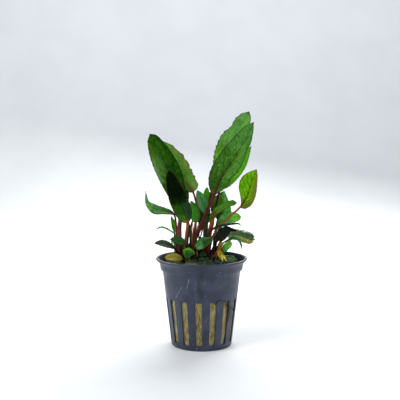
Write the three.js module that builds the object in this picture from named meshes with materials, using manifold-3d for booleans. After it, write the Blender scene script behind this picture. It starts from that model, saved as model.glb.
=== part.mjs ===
// A potted aquarium plant: a slotted net pot, a rock wool plug, a moss cover and a rosette of leaves.
// Millimetres, +Z up, the origin at the middle of the pot's underside. The front is the -Y side.
import * as THREE from 'three';
import { mergeVertices } from 'three/addons/utils/BufferGeometryUtils.js';
import Module from 'manifold-3d';

const wasm = await Module();
wasm.setup();

// Driving dimensions of the pot.
const POT_HEIGHT = 50;
const RIM_RADIUS = 26;
const BODY_TOP_RADIUS = 22.2;
const BODY_BASE_RADIUS = 17.2;
const BODY_HEIGHT = 43;
const WALL = 0.8;
const FLOOR = 1.2;
const COLLAR_RADIUS = 23.8;
const COLLAR_HEIGHT = 47;
const COLLAR_TAPER = 0.4;
const COLLAR_STEP = 0.6;
const FOOT_EDGE = 0.6;
const LIP_TOP_WIDTH = 1.4;

// The wall slots, which are nearly as wide as the bars between them.
const SLOT_COUNT = 15;
const SLOT_BOTTOM = 3;
const SLOT_TOP = 28;
const SLOT_SHARE = 0.47;
const FIRST_SLOT_DEG = -5;

// The floor's drain slots leave the middle of the floor whole.
const DRAIN_COUNT = 7;
const DRAIN_INNER = 8;
const DRAIN_OUTER = 14.5;
const DRAIN_WIDTH = 2.2;

// Rock wool and moss.
const GAP = 0.3;
const WOOL_TOP = 46.3;
const WOOL_SHOULDER = 44.3;
const WOOL_WAIST = 36;
const WOOL_EDGE = 2;
const MOSS_BOTTOM = WOOL_TOP + GAP;
const MOSS_RADIUS = 20.6;
const MOSS_EDGE_TOP = 47.8;
const MOSS_MIDDLE_TOP = 49.8;
const MOSS_CLUMP = 0.6;
const MOSS_RAGGED = 0.6;

// Each stalk stands upright in the wool from ROOT_FOOT to ROOT_MIDDLE and leaves the moss at ROOT_TOP.
const ROOT_FOOT = 42;
const ROOT_MIDDLE = 46.5;
const ROOT_TOP = 50.5;

// Two facets to each slot and its bar, on the pot and the wool alike.
const POT_SIDES = 2 * SLOT_COUNT;
const MOSS_SIDES = 20;
const HOLE_SIDES = 5;

function material(color, roughness) {
  return new THREE.MeshStandardMaterial({ color, roughness, metalness: 0 });
}

const slate = material('#4a525f', 0.35);
const wool = material('#857f62', 0.95);
const moss = material('#3d4f2c', 0.95);
const darkLeaf = material('#2a5e12', 0.4);
const midLeaf = material('#4a7a2b', 0.4);
const brightLeaf = material('#73a32c', 0.4);
const oldLeaf = material('#3f4a2a', 0.8);
const deadLeaf = material('#8f842b', 0.6);

// Boolean helpers: geometry in, geometry out.
function toSolid(geometry) {
  const bare = geometry.index ? geometry.toNonIndexed() : geometry.clone();
  bare.deleteAttribute('normal');
  bare.deleteAttribute('uv');
  const merged = mergeVertices(bare, 1e-4);
  const corners = merged.index.array;
  const kept = [];
  for (let i = 0; i < corners.length; i += 3) {
    const [a, b, c] = corners.slice(i, i + 3);
    if (a !== b && b !== c && c !== a) {
      kept.push(a, b, c);
    }
  }
  return new wasm.Manifold(new wasm.Mesh({
    numProp: 3,
    vertProperties: new Float32Array(merged.attributes.position.array),
    triVerts: new Uint32Array(kept),
  }));
}

function toGeometry(solid) {
  const mesh = solid.getMesh();
  const geometry = new THREE.BufferGeometry();
  geometry.setAttribute('position', new THREE.BufferAttribute(new Float32Array(mesh.vertProperties), 3));
  geometry.setIndex(new THREE.BufferAttribute(new Uint32Array(mesh.triVerts), 1));
  return geometry;
}

function cut(geometry, tools) {
  let solid = toSolid(geometry);
  for (const tool of tools) {
    solid = solid.subtract(toSolid(tool));
  }
  return toGeometry(solid);
}

// A body turned about Z from [radius, z] points that start and end on the axis, going up the outside.
function turned(points, sides) {
  const profile = points.map(([radius, z]) => new THREE.Vector2(radius, z));
  const firstEdge = THREE.MathUtils.degToRad(FIRST_SLOT_DEG) + Math.PI / sides;
  const geometry = new THREE.LatheGeometry(profile, sides, firstEdge);
  geometry.rotateX(Math.PI / 2);
  return geometry;
}

// A closed body through rings of equal length, with a fan over each end.
function lofted(rings) {
  const sides = rings[0].length;
  const points = rings.flat();
  const index = [];
  for (let ring = 0; ring < rings.length - 1; ring += 1) {
    for (let side = 0; side < sides; side += 1) {
      const next = (side + 1) % sides;
      const a = ring * sides + side;
      const b = ring * sides + next;
      index.push(a, b, b + sides, a, b + sides, a + sides);
    }
  }
  const last = (rings.length - 1) * sides;
  for (let side = 1; side < sides - 1; side += 1) {
    index.push(0, side + 1, side);
    index.push(last, last + side, last + side + 1);
  }
  const geometry = new THREE.BufferGeometry();
  const positions = points.flatMap((point) => point.toArray());
  geometry.setAttribute('position', new THREE.Float32BufferAttribute(positions, 3));
  geometry.setIndex(index);
  return geometry;
}

const bodyRadius = (z) => BODY_BASE_RADIUS + (BODY_TOP_RADIUS - BODY_BASE_RADIUS) * z / BODY_HEIGHT;

function potGeometry() {
  const shell = turned([
    [0, 0],
    [BODY_BASE_RADIUS - FOOT_EDGE, 0],
    [bodyRadius(FOOT_EDGE), FOOT_EDGE],
    [BODY_TOP_RADIUS, BODY_HEIGHT],
    [COLLAR_RADIUS - COLLAR_TAPER, BODY_HEIGHT + COLLAR_STEP],
    [COLLAR_RADIUS, COLLAR_HEIGHT],
    [RIM_RADIUS - 0.4, POT_HEIGHT - 1.2],
    [RIM_RADIUS, POT_HEIGHT - 0.6],
    [RIM_RADIUS - 0.3, POT_HEIGHT],
    [RIM_RADIUS - 0.3 - LIP_TOP_WIDTH, POT_HEIGHT],
    [COLLAR_RADIUS - WALL, COLLAR_HEIGHT + COLLAR_STEP],
    [COLLAR_RADIUS - COLLAR_TAPER - WALL, BODY_HEIGHT + COLLAR_STEP + WALL],
    [BODY_TOP_RADIUS - WALL, BODY_HEIGHT],
    [bodyRadius(FLOOR) - WALL, FLOOR],
    [0, FLOOR],
  ], POT_SIDES);
  return cut(shell, [...wallSlots(), ...drainSlots()]);
}

function wallSlots() {
  const pitch = 2 * Math.PI / SLOT_COUNT;
  const halfWidth = (z) => bodyRadius(z) * Math.sin(pitch * SLOT_SHARE / 2);
  const depth = 6 * WALL;
  const outline = new THREE.Shape([
    new THREE.Vector2(-halfWidth(SLOT_BOTTOM), SLOT_BOTTOM),
    new THREE.Vector2(halfWidth(SLOT_BOTTOM), SLOT_BOTTOM),
    new THREE.Vector2(halfWidth(SLOT_TOP), SLOT_TOP),
    new THREE.Vector2(-halfWidth(SLOT_TOP), SLOT_TOP),
  ]);
  const slots = [];
  for (let i = 0; i < SLOT_COUNT; i += 1) {
    const slot = new THREE.ExtrudeGeometry(outline, { depth, bevelEnabled: false });
    slot.translate(0, 0, bodyRadius(SLOT_TOP) - depth + WALL);
    slot.rotateX(Math.PI / 2);
    slot.rotateZ(THREE.MathUtils.degToRad(FIRST_SLOT_DEG) + i * pitch);
    slots.push(slot);
  }
  return slots;
}

function drainSlots() {
  const slots = [];
  for (let i = 0; i < DRAIN_COUNT; i += 1) {
    const slot = new THREE.BoxGeometry(DRAIN_OUTER - DRAIN_INNER, DRAIN_WIDTH, 4 * FLOOR);
    slot.translate((DRAIN_INNER + DRAIN_OUTER) / 2, 0, 0);
    slot.rotateZ((i + 0.5) * 2 * Math.PI / DRAIN_COUNT);
    slots.push(slot);
  }
  return slots;
}

function woolGeometry(holes) {
  const inside = (z) => bodyRadius(z) - WALL - GAP;
  const foot = FLOOR + GAP;
  const plug = turned([
    [0, foot],
    [inside(foot), foot],
    [inside(WOOL_WAIST), WOOL_WAIST],
    [inside(WOOL_WAIST) + 0.2, WOOL_SHOULDER],
    [inside(WOOL_WAIST) - WOOL_EDGE, WOOL_TOP],
    [0, WOOL_TOP],
  ], POT_SIDES);
  return cut(plug, holes);
}

// Clumps of moss stand up to 1 mm above a low dome.
function mossHeight(radius, angle) {
  const share = radius / MOSS_RADIUS;
  const dome = MOSS_MIDDLE_TOP + (MOSS_EDGE_TOP - MOSS_MIDDLE_TOP) * share ** 2;
  const clumps = Math.sin(3 * angle + 1) * Math.cos(radius * 0.7) + 0.5 * Math.sin(7 * angle + radius);
  return dome + MOSS_CLUMP * clumps * Math.min(1, radius / 4);
}

function mossGeometry(holes) {
  const levels = [
    { share: 0.02, top: false },
    { share: 1, top: false },
    { share: 1, top: true },
    { share: 0.8, top: true },
    { share: 0.5, top: true },
    { share: 0.02, top: true },
  ];
  const rings = levels.map(({ share, top }) => {
    const ring = [];
    for (let side = 0; side < MOSS_SIDES; side += 1) {
      const angle = 2 * Math.PI * side / MOSS_SIDES;
      const ragged = share === 1 ? MOSS_RAGGED * (Math.sin(5 * angle) - 1) : 0;
      const radius = MOSS_RADIUS * share + ragged;
      const z = top ? mossHeight(radius, angle) : MOSS_BOTTOM;
      ring.push(new THREE.Vector3(radius * Math.cos(angle), radius * Math.sin(angle), z));
    }
    return ring;
  });
  return cut(lofted(rings), holes);
}

// The outline of a blade, from 0 at the neck through 1 at its widest place to 0 at the tip.
function fullness(share, widest, base, tip) {
  if (share <= 0 || share >= 1) {
    return 0;
  }
  if (share < widest) {
    return Math.sin(Math.PI / 2 * share / widest) ** base;
  }
  return Math.sin(Math.PI / 2 * (1 - share) / (1 - widest)) ** tip;
}

// The leaf's middle line runs from its foot in the wool through the stalk and the blade to the tip.
function middleLine(leaf) {
  const [x, y] = leaf.root;
  const root = [[x, y, ROOT_FOOT], [x, y, ROOT_MIDDLE], [x, y, ROOT_TOP]];
  const points = [...root, ...leaf.stalk, ...leaf.blade];
  const curve = new THREE.CatmullRomCurve3(points.map((p) => new THREE.Vector3(...p)), false, 'centripetal');
  const last = points.length - 1;
  return { curve, middleAt: 1 / last, rootAt: 2 / last, neckAt: (3 + leaf.stalk.length) / last };
}

// A leaf's cross-section: the two margins, the upper face above them and the midrib below.
const BROAD_SECTION = [
  { across: -1, up: 0 },
  { across: -0.6, up: 0.8 },
  { across: 0, up: 1 },
  { across: 0.6, up: 0.8 },
  { across: 1, up: 0 },
  { across: 0.6, up: -0.8 },
  { across: 0, up: -1 },
  { across: -0.6, up: -0.8 },
];
const SLIM_SECTION = BROAD_SECTION.filter((corner, index) => index % 2 === 0);
const BLADE_HALF_THICKNESS = 0.25;
const NECK_SHARE = 0.15;

// One ring of the leaf. share is 0 at the neck and 1 at the tip, and 0 all along the stalk.
function leafRing(leaf, curve, at, neckAt) {
  const share = Math.max(0, (at - neckAt) / (1 - neckAt));
  const stalkLeft = Math.max(0, 1 - at / neckAt);
  const centre = curve.getPoint(at);
  const along = curve.getTangent(at);
  const faces = new THREE.Vector3(...leaf.faces[0]).lerp(new THREE.Vector3(...leaf.faces[1]), share);
  const up = faces.addScaledVector(along, -faces.dot(along)).normalize();
  const across = new THREE.Vector3().crossVectors(along, up);
  const [foot, top] = leaf.thick;
  const stalkRadius = (top + (foot - top) * stalkLeft ** 2) / 2;
  const stalkness = Math.max(0, 1 - share / NECK_SHARE);
  return leaf.section.map((corner) => {
    const side = corner.across < 0 ? 0 : 1;
    const spread = leaf.half[side] * fullness(share, leaf.widest[side], leaf.base[side], leaf.tip[side]);
    const half = Math.max(spread, stalkRadius * (1 - share), BLADE_HALF_THICKNESS);
    const midrib = corner.across === 0 && corner.up < 0 ? 0.7 * stalkRadius * (1 - share) : 0;
    const thickness = (BLADE_HALF_THICKNESS + midrib) * (1 - stalkness) + stalkRadius * stalkness;
    const wave = Math.sin(2 * Math.PI * leaf.waves * share + corner.across);
    const fold = Math.abs(corner.across) * spread * Math.tan(leaf.fold);
    const ripple = leaf.ruffle * spread / leaf.half[side] * corner.across ** 2 * wave;
    return centre.clone()
      .addScaledVector(across, corner.across * half)
      .addScaledVector(up, corner.up * thickness + fold + ripple);
  });
}

function leafGeometry(leaf) {
  const { curve, rootAt, neckAt } = middleLine(leaf);
  const rings = [leafRing(leaf, curve, 0, neckAt)];
  const stalkSteps = 2 + leaf.stalk.length;
  for (let step = 0; step < stalkSteps; step += 1) {
    rings.push(leafRing(leaf, curve, rootAt + (neckAt - rootAt) * step / stalkSteps, neckAt));
  }
  for (let step = 0; step <= leaf.steps; step += 1) {
    rings.push(leafRing(leaf, curve, neckAt + (1 - neckAt) * step / leaf.steps, neckAt));
  }
  return lofted(rings);
}

// The hole that a stalk fills in the wool and the moss, wider all round by the gap.
function holeGeometry(leaf) {
  const { curve, middleAt, rootAt } = middleLine(leaf);
  const radius = (leaf.thick[0] / 2 + GAP) / Math.cos(Math.PI / HOLE_SIDES);
  const foot = curve.getPoint(0);
  const top = curve.getPoint(rootAt);
  const centres = [
    foot.clone().setZ(foot.z - GAP),
    curve.getPoint(middleAt),
    top,
    top.clone().addScaledVector(curve.getTangent(rootAt), 2),
  ];
  const rings = centres.map((centre) => {
    const ring = [];
    for (let side = 0; side < HOLE_SIDES; side += 1) {
      const angle = 2 * Math.PI * side / HOLE_SIDES;
      ring.push(new THREE.Vector3(radius * Math.cos(angle), radius * Math.sin(angle), 0).add(centre));
    }
    return ring;
  });
  return lofted(rings);
}

// Pairs are for the left and right halves of the blade, seen from the side that it faces.
const defaults = {
  stalk: [],
  half: [3, 3],
  widest: [0.45, 0.45],
  base: [0.5, 0.5],
  tip: [0.7, 0.7],
  faces: [[0, -1, 0.3], [0, -1, 0.3]],
  fold: 0.15,
  ruffle: 0,
  waves: 2,
  thick: [1.5, 1.1],
  steps: 5,
  section: BROAD_SECTION,
  color: midLeaf,
};

const leaves = [
  // The tall leaves, which reach furthest above the pot.
  {
    name: 'leaf_tall_left', root: [-11.5, 1.5], stalk: [[-12.5, 1.5, 60], [-12.5, 2.5, 69]],
    blade: [[-11, 4, 77.5], [-14, 7, 88], [-18, 10, 98], [-23.5, 12.5, 108], [-30, 15, 120]],
    half: [7.8, 6.2], widest: [0.5, 0.6], base: [0.4, 0.5], tip: [0.5, 0.4],
    faces: [[0.2, -1, 0.3], [-0.2, -1, 0.2]], fold: 0.1, ruffle: 0.5, thick: [3.4, 2.5], steps: 10,
    color: darkLeaf,
  },
  {
    name: 'leaf_tall_right', root: [-5.6, -0.5],
    stalk: [[-3.5, -1, 60.5], [-0.5, -1.5, 67.5], [2.5, -2.5, 75.5]],
    blade: [[7, -4, 86], [11.1, -6.5, 96], [17.3, -9.5, 106], [23.2, -13, 116], [28, -17, 126.5]],
    half: [7.9, 6.3], widest: [0.4, 0.3], base: [0.5, 0.9], tip: [0.6, 0.75],
    faces: [[0.1, -1, 0.2], [-0.1, -1, 0.3]], ruffle: 0.6, thick: [2.6, 2], steps: 10, color: darkLeaf,
  },
  {
    name: 'leaf_tall_back', root: [4.8, 3.2], stalk: [[5, 4, 60.5], [6.5, 5, 69.5], [8.5, 7, 80]],
    blade: [[10, 8.5, 86], [12.5, 12, 99.5], [18, 17, 115.5], [28, 22, 133]], half: [7.7, 6.6],
    widest: [0.55, 0.6], base: [1.3, 1], tip: [0.5, 0.5], faces: [[-0.2, -1, 0.2], [0, -1, 0.3]],
    ruffle: 0.6, thick: [1.8, 1.2], steps: 10, color: midLeaf,
  },
  {
    name: 'leaf_wavy_left', root: [-1.3, 5], stalk: [[1.5, 5.5, 61], [0.5, 7.5, 71.5], [-2.5, 9.5, 78]],
    blade: [[-4.9, 12, 86.2], [-10.2, 15, 93.2], [-15.5, 19, 102.3], [-24, 23, 115.5]], half: [4.6, 6.9],
    widest: [0.4, 0.6], base: [0.4, 0.25], tip: [0.6, 0.6], faces: [[0, -1, 0.3], [-0.2, -1, 0.3]],
    ruffle: 0.8, waves: 3, thick: [1.8, 1.2], steps: 10, color: midLeaf,
  },

  // The leaves of the middle height.
  {
    name: 'leaf_front_left', root: [-9.2, -3.2], stalk: [[-9.2, -3.8, 58.8], [-8.6, -5, 64.7]],
    blade: [[-8, -6.5, 70.5], [-10.2, -9, 78.9], [-13, -12.5, 88], [-17.7, -17, 101]], half: [6.1, 4.4],
    widest: [0.55, 0.3], base: [0.4, 0.7], tip: [0.55, 0.5], faces: [[0.1, -1, 0.3], [-0.1, -1, 0.35]],
    fold: 0.1, ruffle: 0.4, thick: [1.8, 1.4], steps: 8, color: darkLeaf,
  },
  {
    name: 'leaf_side_left', root: [-14.3, -2.5], stalk: [[-14, -3, 61.5], [-14.5, -3, 70]],
    blade: [[-15.5, -4, 75], [-21.5, -7.5, 77.7], [-26.6, -11, 79.4], [-29.5, -13.5, 82.5],
      [-30.5, -15, 89.2]],
    half: [3.4, 2.4], widest: [0.5, 0.4], base: [1, 1.2], tip: [1.2, 1.2],
    faces: [[0, -0.8, 0.6], [0.7, -0.7, 0.2]], ruffle: 0.4, steps: 8, color: brightLeaf,
  },
  {
    name: 'leaf_side_right', root: [4.2, -0.3], stalk: [[6, -0.5, 61], [9.5, 0.5, 67], [15.5, 3, 72.5]],
    blade: [[22, 5.5, 78], [26, 7.5, 84], [28.7, 9, 92], [31.7, 10, 99.6]], half: [6.6, 4.8],
    widest: [0.62, 0.25], base: [1.4, 0.35], tip: [0.9, 0.7], faces: [[-0.1, -1, 0.3], [0.1, -1, 0.2]],
    ruffle: 0.5, thick: [1.7, 1.2], steps: 8, color: brightLeaf,
  },
  {
    name: 'leaf_strip_right', root: [1, 8.2],
    stalk: [[1.5, 8.5, 61.5], [3.5, 8.5, 74.5], [5, 7.5, 83.5]],
    blade: [[7, 6, 88], [13.5, 5, 94], [22, 5.5, 102.5], [28.5, 8, 113]], half: [3, 4.6],
    widest: [0.5, 0.35], base: [0.5, 1], tip: [0.5, 0.9], faces: [[0.2, -1, 0.2], [0.2, -1, 0.2]],
    ruffle: 0.3, steps: 7, color: brightLeaf,
  },

  // The inner leaves, close together above the middle of the pot.
  {
    name: 'leaf_inner_left', root: [-4.6, 3], stalk: [[-4.3, 2.5, 61.5], [-3.8, 1.5, 66]],
    blade: [[-3.3, 1, 69.8], [-3.8, 0, 76], [-6, -1, 82.5]], half: [3, 2.9], widest: [0.4, 0.4],
    base: [0.4, 0.4], thick: [1.9, 1.3], steps: 6, color: midLeaf,
  },
  {
    name: 'leaf_inner_blue', root: [0.6, 0.8], stalk: [[1.9, 2, 61.5], [2.8, 2.5, 69]],
    blade: [[2.5, 2.5, 74.6], [0.7, 2.5, 81], [-2.5, 2, 88.2]], half: [3.5, 3.2], thick: [1.8, 1.3],
    steps: 6, color: midLeaf,
  },
  {
    name: 'leaf_inner_bright', root: [1.8, 4.6], stalk: [[3, 5, 61.5], [3.2, 5.5, 73.5]],
    blade: [[2.7, 6, 81.5], [2.9, 6.5, 85.5], [3.1, 7, 89.5]], half: [1.9, 1.9], base: [0.4, 0.4],
    color: brightLeaf,
  },
  {
    name: 'leaf_inner_olive', root: [4.2, 7], stalk: [[4.8, 7.8, 60.5], [5.9, 8.3, 67.5]],
    blade: [[6.8, 9, 73.8], [8.4, 10.5, 78.9], [10.5, 12.5, 85.7]], half: [2.8, 3.6], thick: [1.9, 1.2],
    color: oldLeaf,
  },
  {
    name: 'leaf_inner_tall', root: [7.4, 5.2], stalk: [[7.8, 7, 60], [10, 9, 64]],
    blade: [[13.1, 12, 69.3], [13.9, 14, 73.8], [13.8, 16.5, 79.2], [13.4, 19.5, 86.6]],
    half: [2.6, 3.6], widest: [0.6, 0.3], base: [0.9, 0.35], tip: [0.6, 0.9], ruffle: 0.3,
    thick: [1.7, 1.2], steps: 7, color: brightLeaf,
  },

  // The cluster at the right.
  {
    name: 'leaf_folded_right', root: [1.6, -3.2], stalk: [[3.9, -3.7, 61.7], [4.9, -4.2, 66.3]],
    blade: [[5.8, -5, 70.1], [6.5, -5.5, 73.5], [8.3, -6, 76.7], [11.6, -7, 79.2],
      [15.8, -8, 81.2], [19.5, -9, 82.2]],
    half: [2.3, 1.6], widest: [0.15, 0.45], base: [0.2, 0.6], tip: [0.5, 0.3],
    faces: [[-0.4, -0.9, 0.3], [-0.2, -0.8, 0.6]], fold: 0.2, thick: [2.7, 2.6], steps: 7,
    color: midLeaf,
  },
  {
    name: 'leaf_lobe_right', root: [7.6, 1.8], stalk: [[8.5, 3, 59.5]],
    blade: [[8.9, 5, 66.7], [11.8, 7, 70], [15, 9, 71.7], [18.9, 11, 71.8], [23.2, 13, 71.6]],
    half: [3.1, 3.6], widest: [0.45, 0.5], base: [0.8, 0.5], tip: [0.45, 0.45], ruffle: 0.3,
    color: brightLeaf,
  },
  {
    name: 'leaf_edge_right', root: [-2, -2.8], stalk: [[2.2, -5.4, 61.6]],
    blade: [[5.5, -6.9, 66.4], [8.6, -7.1, 68.4], [11.9, -7.2, 69.2], [16.4, -7.4, 69.9],
      [20.8, -8.2, 70.2], [21.9, -8.6, 69.1]],
    half: [1, 1], widest: [0.3, 0.3], base: [0.8, 0.8], tip: [0.9, 0.9],
    faces: [[0, -0.7, 0.7], [0, -0.7, 0.7]], fold: 0.2, steps: 6, color: darkLeaf,
  },
  {
    name: 'leaf_dark_round', root: [4.6, -6], stalk: [[6.7, -6.5, 57.3]],
    blade: [[9.2, -7.2, 60.7], [11.5, -8, 64], [15.9, -9, 68.6]], half: [3.2, 3], widest: [0.5, 0.5],
    base: [0.4, 0.4], tip: [0.4, 0.4], thick: [1.2, 0.9], color: darkLeaf,
  },
  {
    name: 'leaf_dark_point', root: [7.3, -3], stalk: [[10.1, -3.6, 58.8]],
    blade: [[13.4, -4.3, 64], [15.9, -5, 66.5], [19.6, -6, 66.1]], half: [1.2, 1.2], base: [0.7, 0.7],
    steps: 4, section: SLIM_SECTION, color: darkLeaf,
  },
  {
    name: 'leaf_old_algae', root: [10, -0.5], stalk: [[10.7, -0.7, 58.3]],
    blade: [[13.3, -0.5, 62.2], [16.5, 0.5, 63.2], [20.2, 2, 62.8], [24, 3.5, 61.2],
      [27.2, 3.5, 60], [29.9, 3, 59.4]],
    half: [2.8, 3.3], widest: [0.72, 0.72], base: [0.35, 0.35], tip: [0.25, 0.25],
    faces: [[-0.1, -0.9, 0.5], [0.3, -0.9, 0.4]], ruffle: 0.5, waves: 3, steps: 7, color: oldLeaf,
  },
  {
    name: 'leaf_drooping', root: [9.6, -5], stalk: [[12, -5.4, 58.8]],
    blade: [[14.6, -6, 60.7], [17.3, -6.5, 61.8], [20.2, -7, 61.4], [21.8, -8, 58.9], [22.1, -9, 55.1]],
    half: [1.1, 1], widest: [0.4, 0.4], faces: [[0, -0.8, 0.6], [0.7, -0.7, 0.2]], thick: [1.2, 0.9],
    section: SLIM_SECTION, color: midLeaf,
  },
  {
    name: 'leaf_young_right', root: [12, -7.6],
    blade: [[11.8, -8, 53.6], [13.5, -9.2, 57.1], [16.6, -10, 60.5]], half: [2.1, 2],
    widest: [0.72, 0.7], base: [0.7, 0.55], tip: [0.35, 0.35], color: brightLeaf,
  },

  // The low leaves round the foot of the rosette.
  {
    name: 'leaf_arching_left', root: [-14.5, -5.6], stalk: [[-14.5, -6, 60.5]],
    blade: [[-15, -7, 64.2], [-19.3, -10, 67.7], [-22.5, -12, 68.8], [-25.3, -14, 67.8]], half: [1, 1],
    faces: [[0.2, -0.5, 0.9], [0, -0.5, 0.9]], thick: [1.2, 0.9], section: SLIM_SECTION,
    color: brightLeaf,
  },
  {
    name: 'leaf_sliver_left', root: [-15, 3], stalk: [[-15.5, 3, 58.5]],
    blade: [[-15.5, 3.5, 64], [-16, 4, 68], [-17.5, 5, 73]], half: [1.3, 1.6], section: SLIM_SECTION,
    color: brightLeaf,
  },
  {
    name: 'leaf_low_grey', root: [-11.5, -6.5],
    blade: [[-15.2, -8.5, 56.5], [-20.1, -14, 59.7], [-25.6, -19, 61]], half: [2.5, 2.6],
    widest: [0.5, 0.5], faces: [[0, -0.8, 0.6], [0, -0.8, 0.6]], color: oldLeaf,
  },
  {
    name: 'leaf_low_dark', root: [-8.2, -7], blade: [[-9, -8, 58.5], [-13, -10, 61], [-17.5, -12, 62]],
    half: [2.7, 2.7], faces: [[0, -0.8, 0.6], [0, -0.8, 0.6]], color: darkLeaf,
  },
  {
    name: 'leaf_low_bright', root: [-10.8, -10.2],
    blade: [[-9.8, -11, 53.2], [-7, -12.5, 54.3], [-3.6, -14, 54.6]], half: [3.5, 3.2],
    widest: [0.35, 0.35], base: [0.3, 0.3], tip: [0.9, 0.9], faces: [[0, -0.9, 0.5], [0, -0.7, 0.7]],
    color: brightLeaf,
  },
  {
    name: 'leaf_low_centre', root: [-5.6, -5.2],
    blade: [[-3.4, -6.3, 56.3], [1, -8.5, 59.4], [6.4, -10, 62.2]], half: [3.7, 3.4], widest: [0.4, 0.4],
    faces: [[0, -0.8, 0.6], [0, -0.8, 0.6]], color: midLeaf,
  },
  {
    name: 'leaf_low_small', root: [-2.5, -8.2],
    blade: [[-1.5, -10, 52.5], [1, -11.5, 53.5], [3, -13, 53.5]], half: [1.4, 1.4], steps: 4,
    section: SLIM_SECTION, color: darkLeaf,
  },

  // Dead and dying leaves, lying over the moss.
  {
    name: 'leaf_withered_right', root: [6.8, -9.2],
    blade: [[9.1, -11, 55.7], [10.6, -13, 53.3], [12.7, -16, 51]], half: [1.7, 1.6],
    widest: [0.45, 0.45], base: [0.5, 0.5], tip: [0.3, 0.3], steps: 5, section: SLIM_SECTION,
    color: deadLeaf,
  },
  {
    name: 'leaf_withered_stalk', root: [9, -7.8],
    blade: [[9.5, -8.9, 54.5], [10.2, -9.6, 57.5], [11.3, -10.2, 60.7]], half: [1.2, 1.2],
    widest: [0.5, 0.5], base: [0.3, 0.3], tip: [0.25, 0.25], steps: 5, section: SLIM_SECTION,
    color: deadLeaf,
  },
  {
    name: 'leaf_yellow_left', root: [-9.6, -13.6],
    blade: [[-10.6, -15.5, 51.7], [-14.8, -16, 52.8], [-20.3, -16, 52.6]], half: [2.9, 2.7],
    base: [0.4, 0.4], tip: [0.5, 0.5], faces: [[0, -0.7, 0.7], [0, -0.7, 0.7]], color: deadLeaf,
  },

  // Leaves behind, which lean back.
  {
    name: 'leaf_rear_1', root: [-7.8, 3.5], stalk: [[-8, 4.5, 59.5], [-7.5, 6.5, 68.5]],
    blade: [[-9.5, 10, 77.5], [-11.5, 15, 88], [-15, 22, 99]], half: [4, 3.6],
    faces: [[0, -1, 0.5], [0, -1, 0.9]], color: midLeaf,
  },
  {
    name: 'leaf_rear_2', root: [-5, 6.8], stalk: [[-5.5, 8, 59], [-6, 11, 66.5]],
    blade: [[-3.5, 14, 73], [-0.5, 18, 78], [2, 23, 81.5]], faces: [[0, -1, 0.7], [0, -1, 1]],
    color: darkLeaf,
  },
  {
    name: 'leaf_rear_3', root: [7, 8.6], stalk: [[7.5, 12, 61]],
    blade: [[9.5, 15, 70], [11, 19, 78], [12.5, 25, 85.5]], half: [4, 4],
    faces: [[0, -1, 0.6], [0, -1, 1]], color: darkLeaf,
  },
  {
    name: 'leaf_rear_4', root: [-2.2, 9.2], stalk: [[-0.5, 12, 54]],
    blade: [[1, 15, 56], [2, 19, 57], [4, 25, 55.5]], faces: [[0, 0.2, 1], [0, 0.4, 1]], color: midLeaf,
  },
  {
    name: 'leaf_rear_5', root: [-12, 5.8], stalk: [[-12.5, 9, 54]],
    blade: [[-13.5, 13, 55.5], [-15.5, 18, 56], [-17, 24, 54]], faces: [[0, 0.2, 1], [0, 0.4, 1]],
    color: midLeaf,
  },
  {
    name: 'leaf_rear_6', root: [10.8, 3.2], stalk: [[13, 6, 55.5]],
    blade: [[16.5, 9, 58.5], [20, 14, 60], [24.5, 20, 58]], half: [3.4, 3.4],
    faces: [[0, 0.2, 1], [0, 0.4, 1]], color: midLeaf,
  },
].map((leaf) => ({ ...defaults, ...leaf }));

const group = new THREE.Group();

function add(name, geometry, color) {
  const mesh = new THREE.Mesh(geometry, color);
  mesh.name = name;
  group.add(mesh);
}

const holes = leaves.map(holeGeometry);
add('pot', potGeometry(), slate);
add('rock_wool', woolGeometry(holes), wool);
add('moss_cover', mossGeometry(holes), moss);
for (const leaf of leaves) {
  add(leaf.name, leafGeometry(leaf), leaf.color);
}

export default group;
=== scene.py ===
import math
import random
from typing import NamedTuple

import bmesh
import bpy
import numpy as np
from mathutils import Matrix, Vector, noise


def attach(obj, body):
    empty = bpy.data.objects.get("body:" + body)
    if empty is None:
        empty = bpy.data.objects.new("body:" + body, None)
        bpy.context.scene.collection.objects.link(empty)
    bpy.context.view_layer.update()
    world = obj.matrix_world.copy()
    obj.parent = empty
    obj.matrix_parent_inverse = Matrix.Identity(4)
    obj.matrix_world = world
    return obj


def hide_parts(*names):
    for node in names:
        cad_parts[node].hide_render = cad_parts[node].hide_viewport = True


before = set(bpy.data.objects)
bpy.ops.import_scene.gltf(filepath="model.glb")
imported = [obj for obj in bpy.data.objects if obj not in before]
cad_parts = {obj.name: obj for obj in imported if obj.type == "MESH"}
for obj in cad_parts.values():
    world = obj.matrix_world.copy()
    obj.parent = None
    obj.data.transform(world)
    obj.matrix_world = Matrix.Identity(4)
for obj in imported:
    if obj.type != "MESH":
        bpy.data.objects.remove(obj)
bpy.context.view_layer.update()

# Everything below is measured in millimetres and turned into metres by MM.
MM = 0.001
SEED = 7

# The camera of the photograph: its distance, its tilt and the point it looks at.
CAMERA_DISTANCE = 420
CAMERA_TILT = math.radians(5.5)
CAMERA_TARGET = Vector((-0.9, 0, 82.8))
LENS = 66.8
SENSOR = 36

# The pot.
POT_HEIGHT = 50
RIM_RADIUS = 26
BODY_TOP_RADIUS = 22.2
BODY_BASE_RADIUS = 17.2
BODY_HEIGHT = 43
WALL = 0.8
FLOOR = 1.2
COLLAR_RADIUS = 23.8
COLLAR_HEIGHT = 47
COLLAR_TAPER = 0.4
COLLAR_STEP = 0.6
SLOT_COUNT = 15
SLOT_BOTTOM = 3
SLOT_TOP = 28
SLOT_PITCH = 2 * math.pi / SLOT_COUNT
SLOT_SHARE = 0.47
FIRST_SLOT = math.radians(-5 - 90)
SLOT_COLUMNS = 6
BAR_COLUMNS = 6
DRAIN_COUNT = 7
DRAIN_INNER = 8
DRAIN_OUTER = 14.5
DRAIN_WIDTH = 2.2
EDGE_ROUNDING = 0.22

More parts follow.
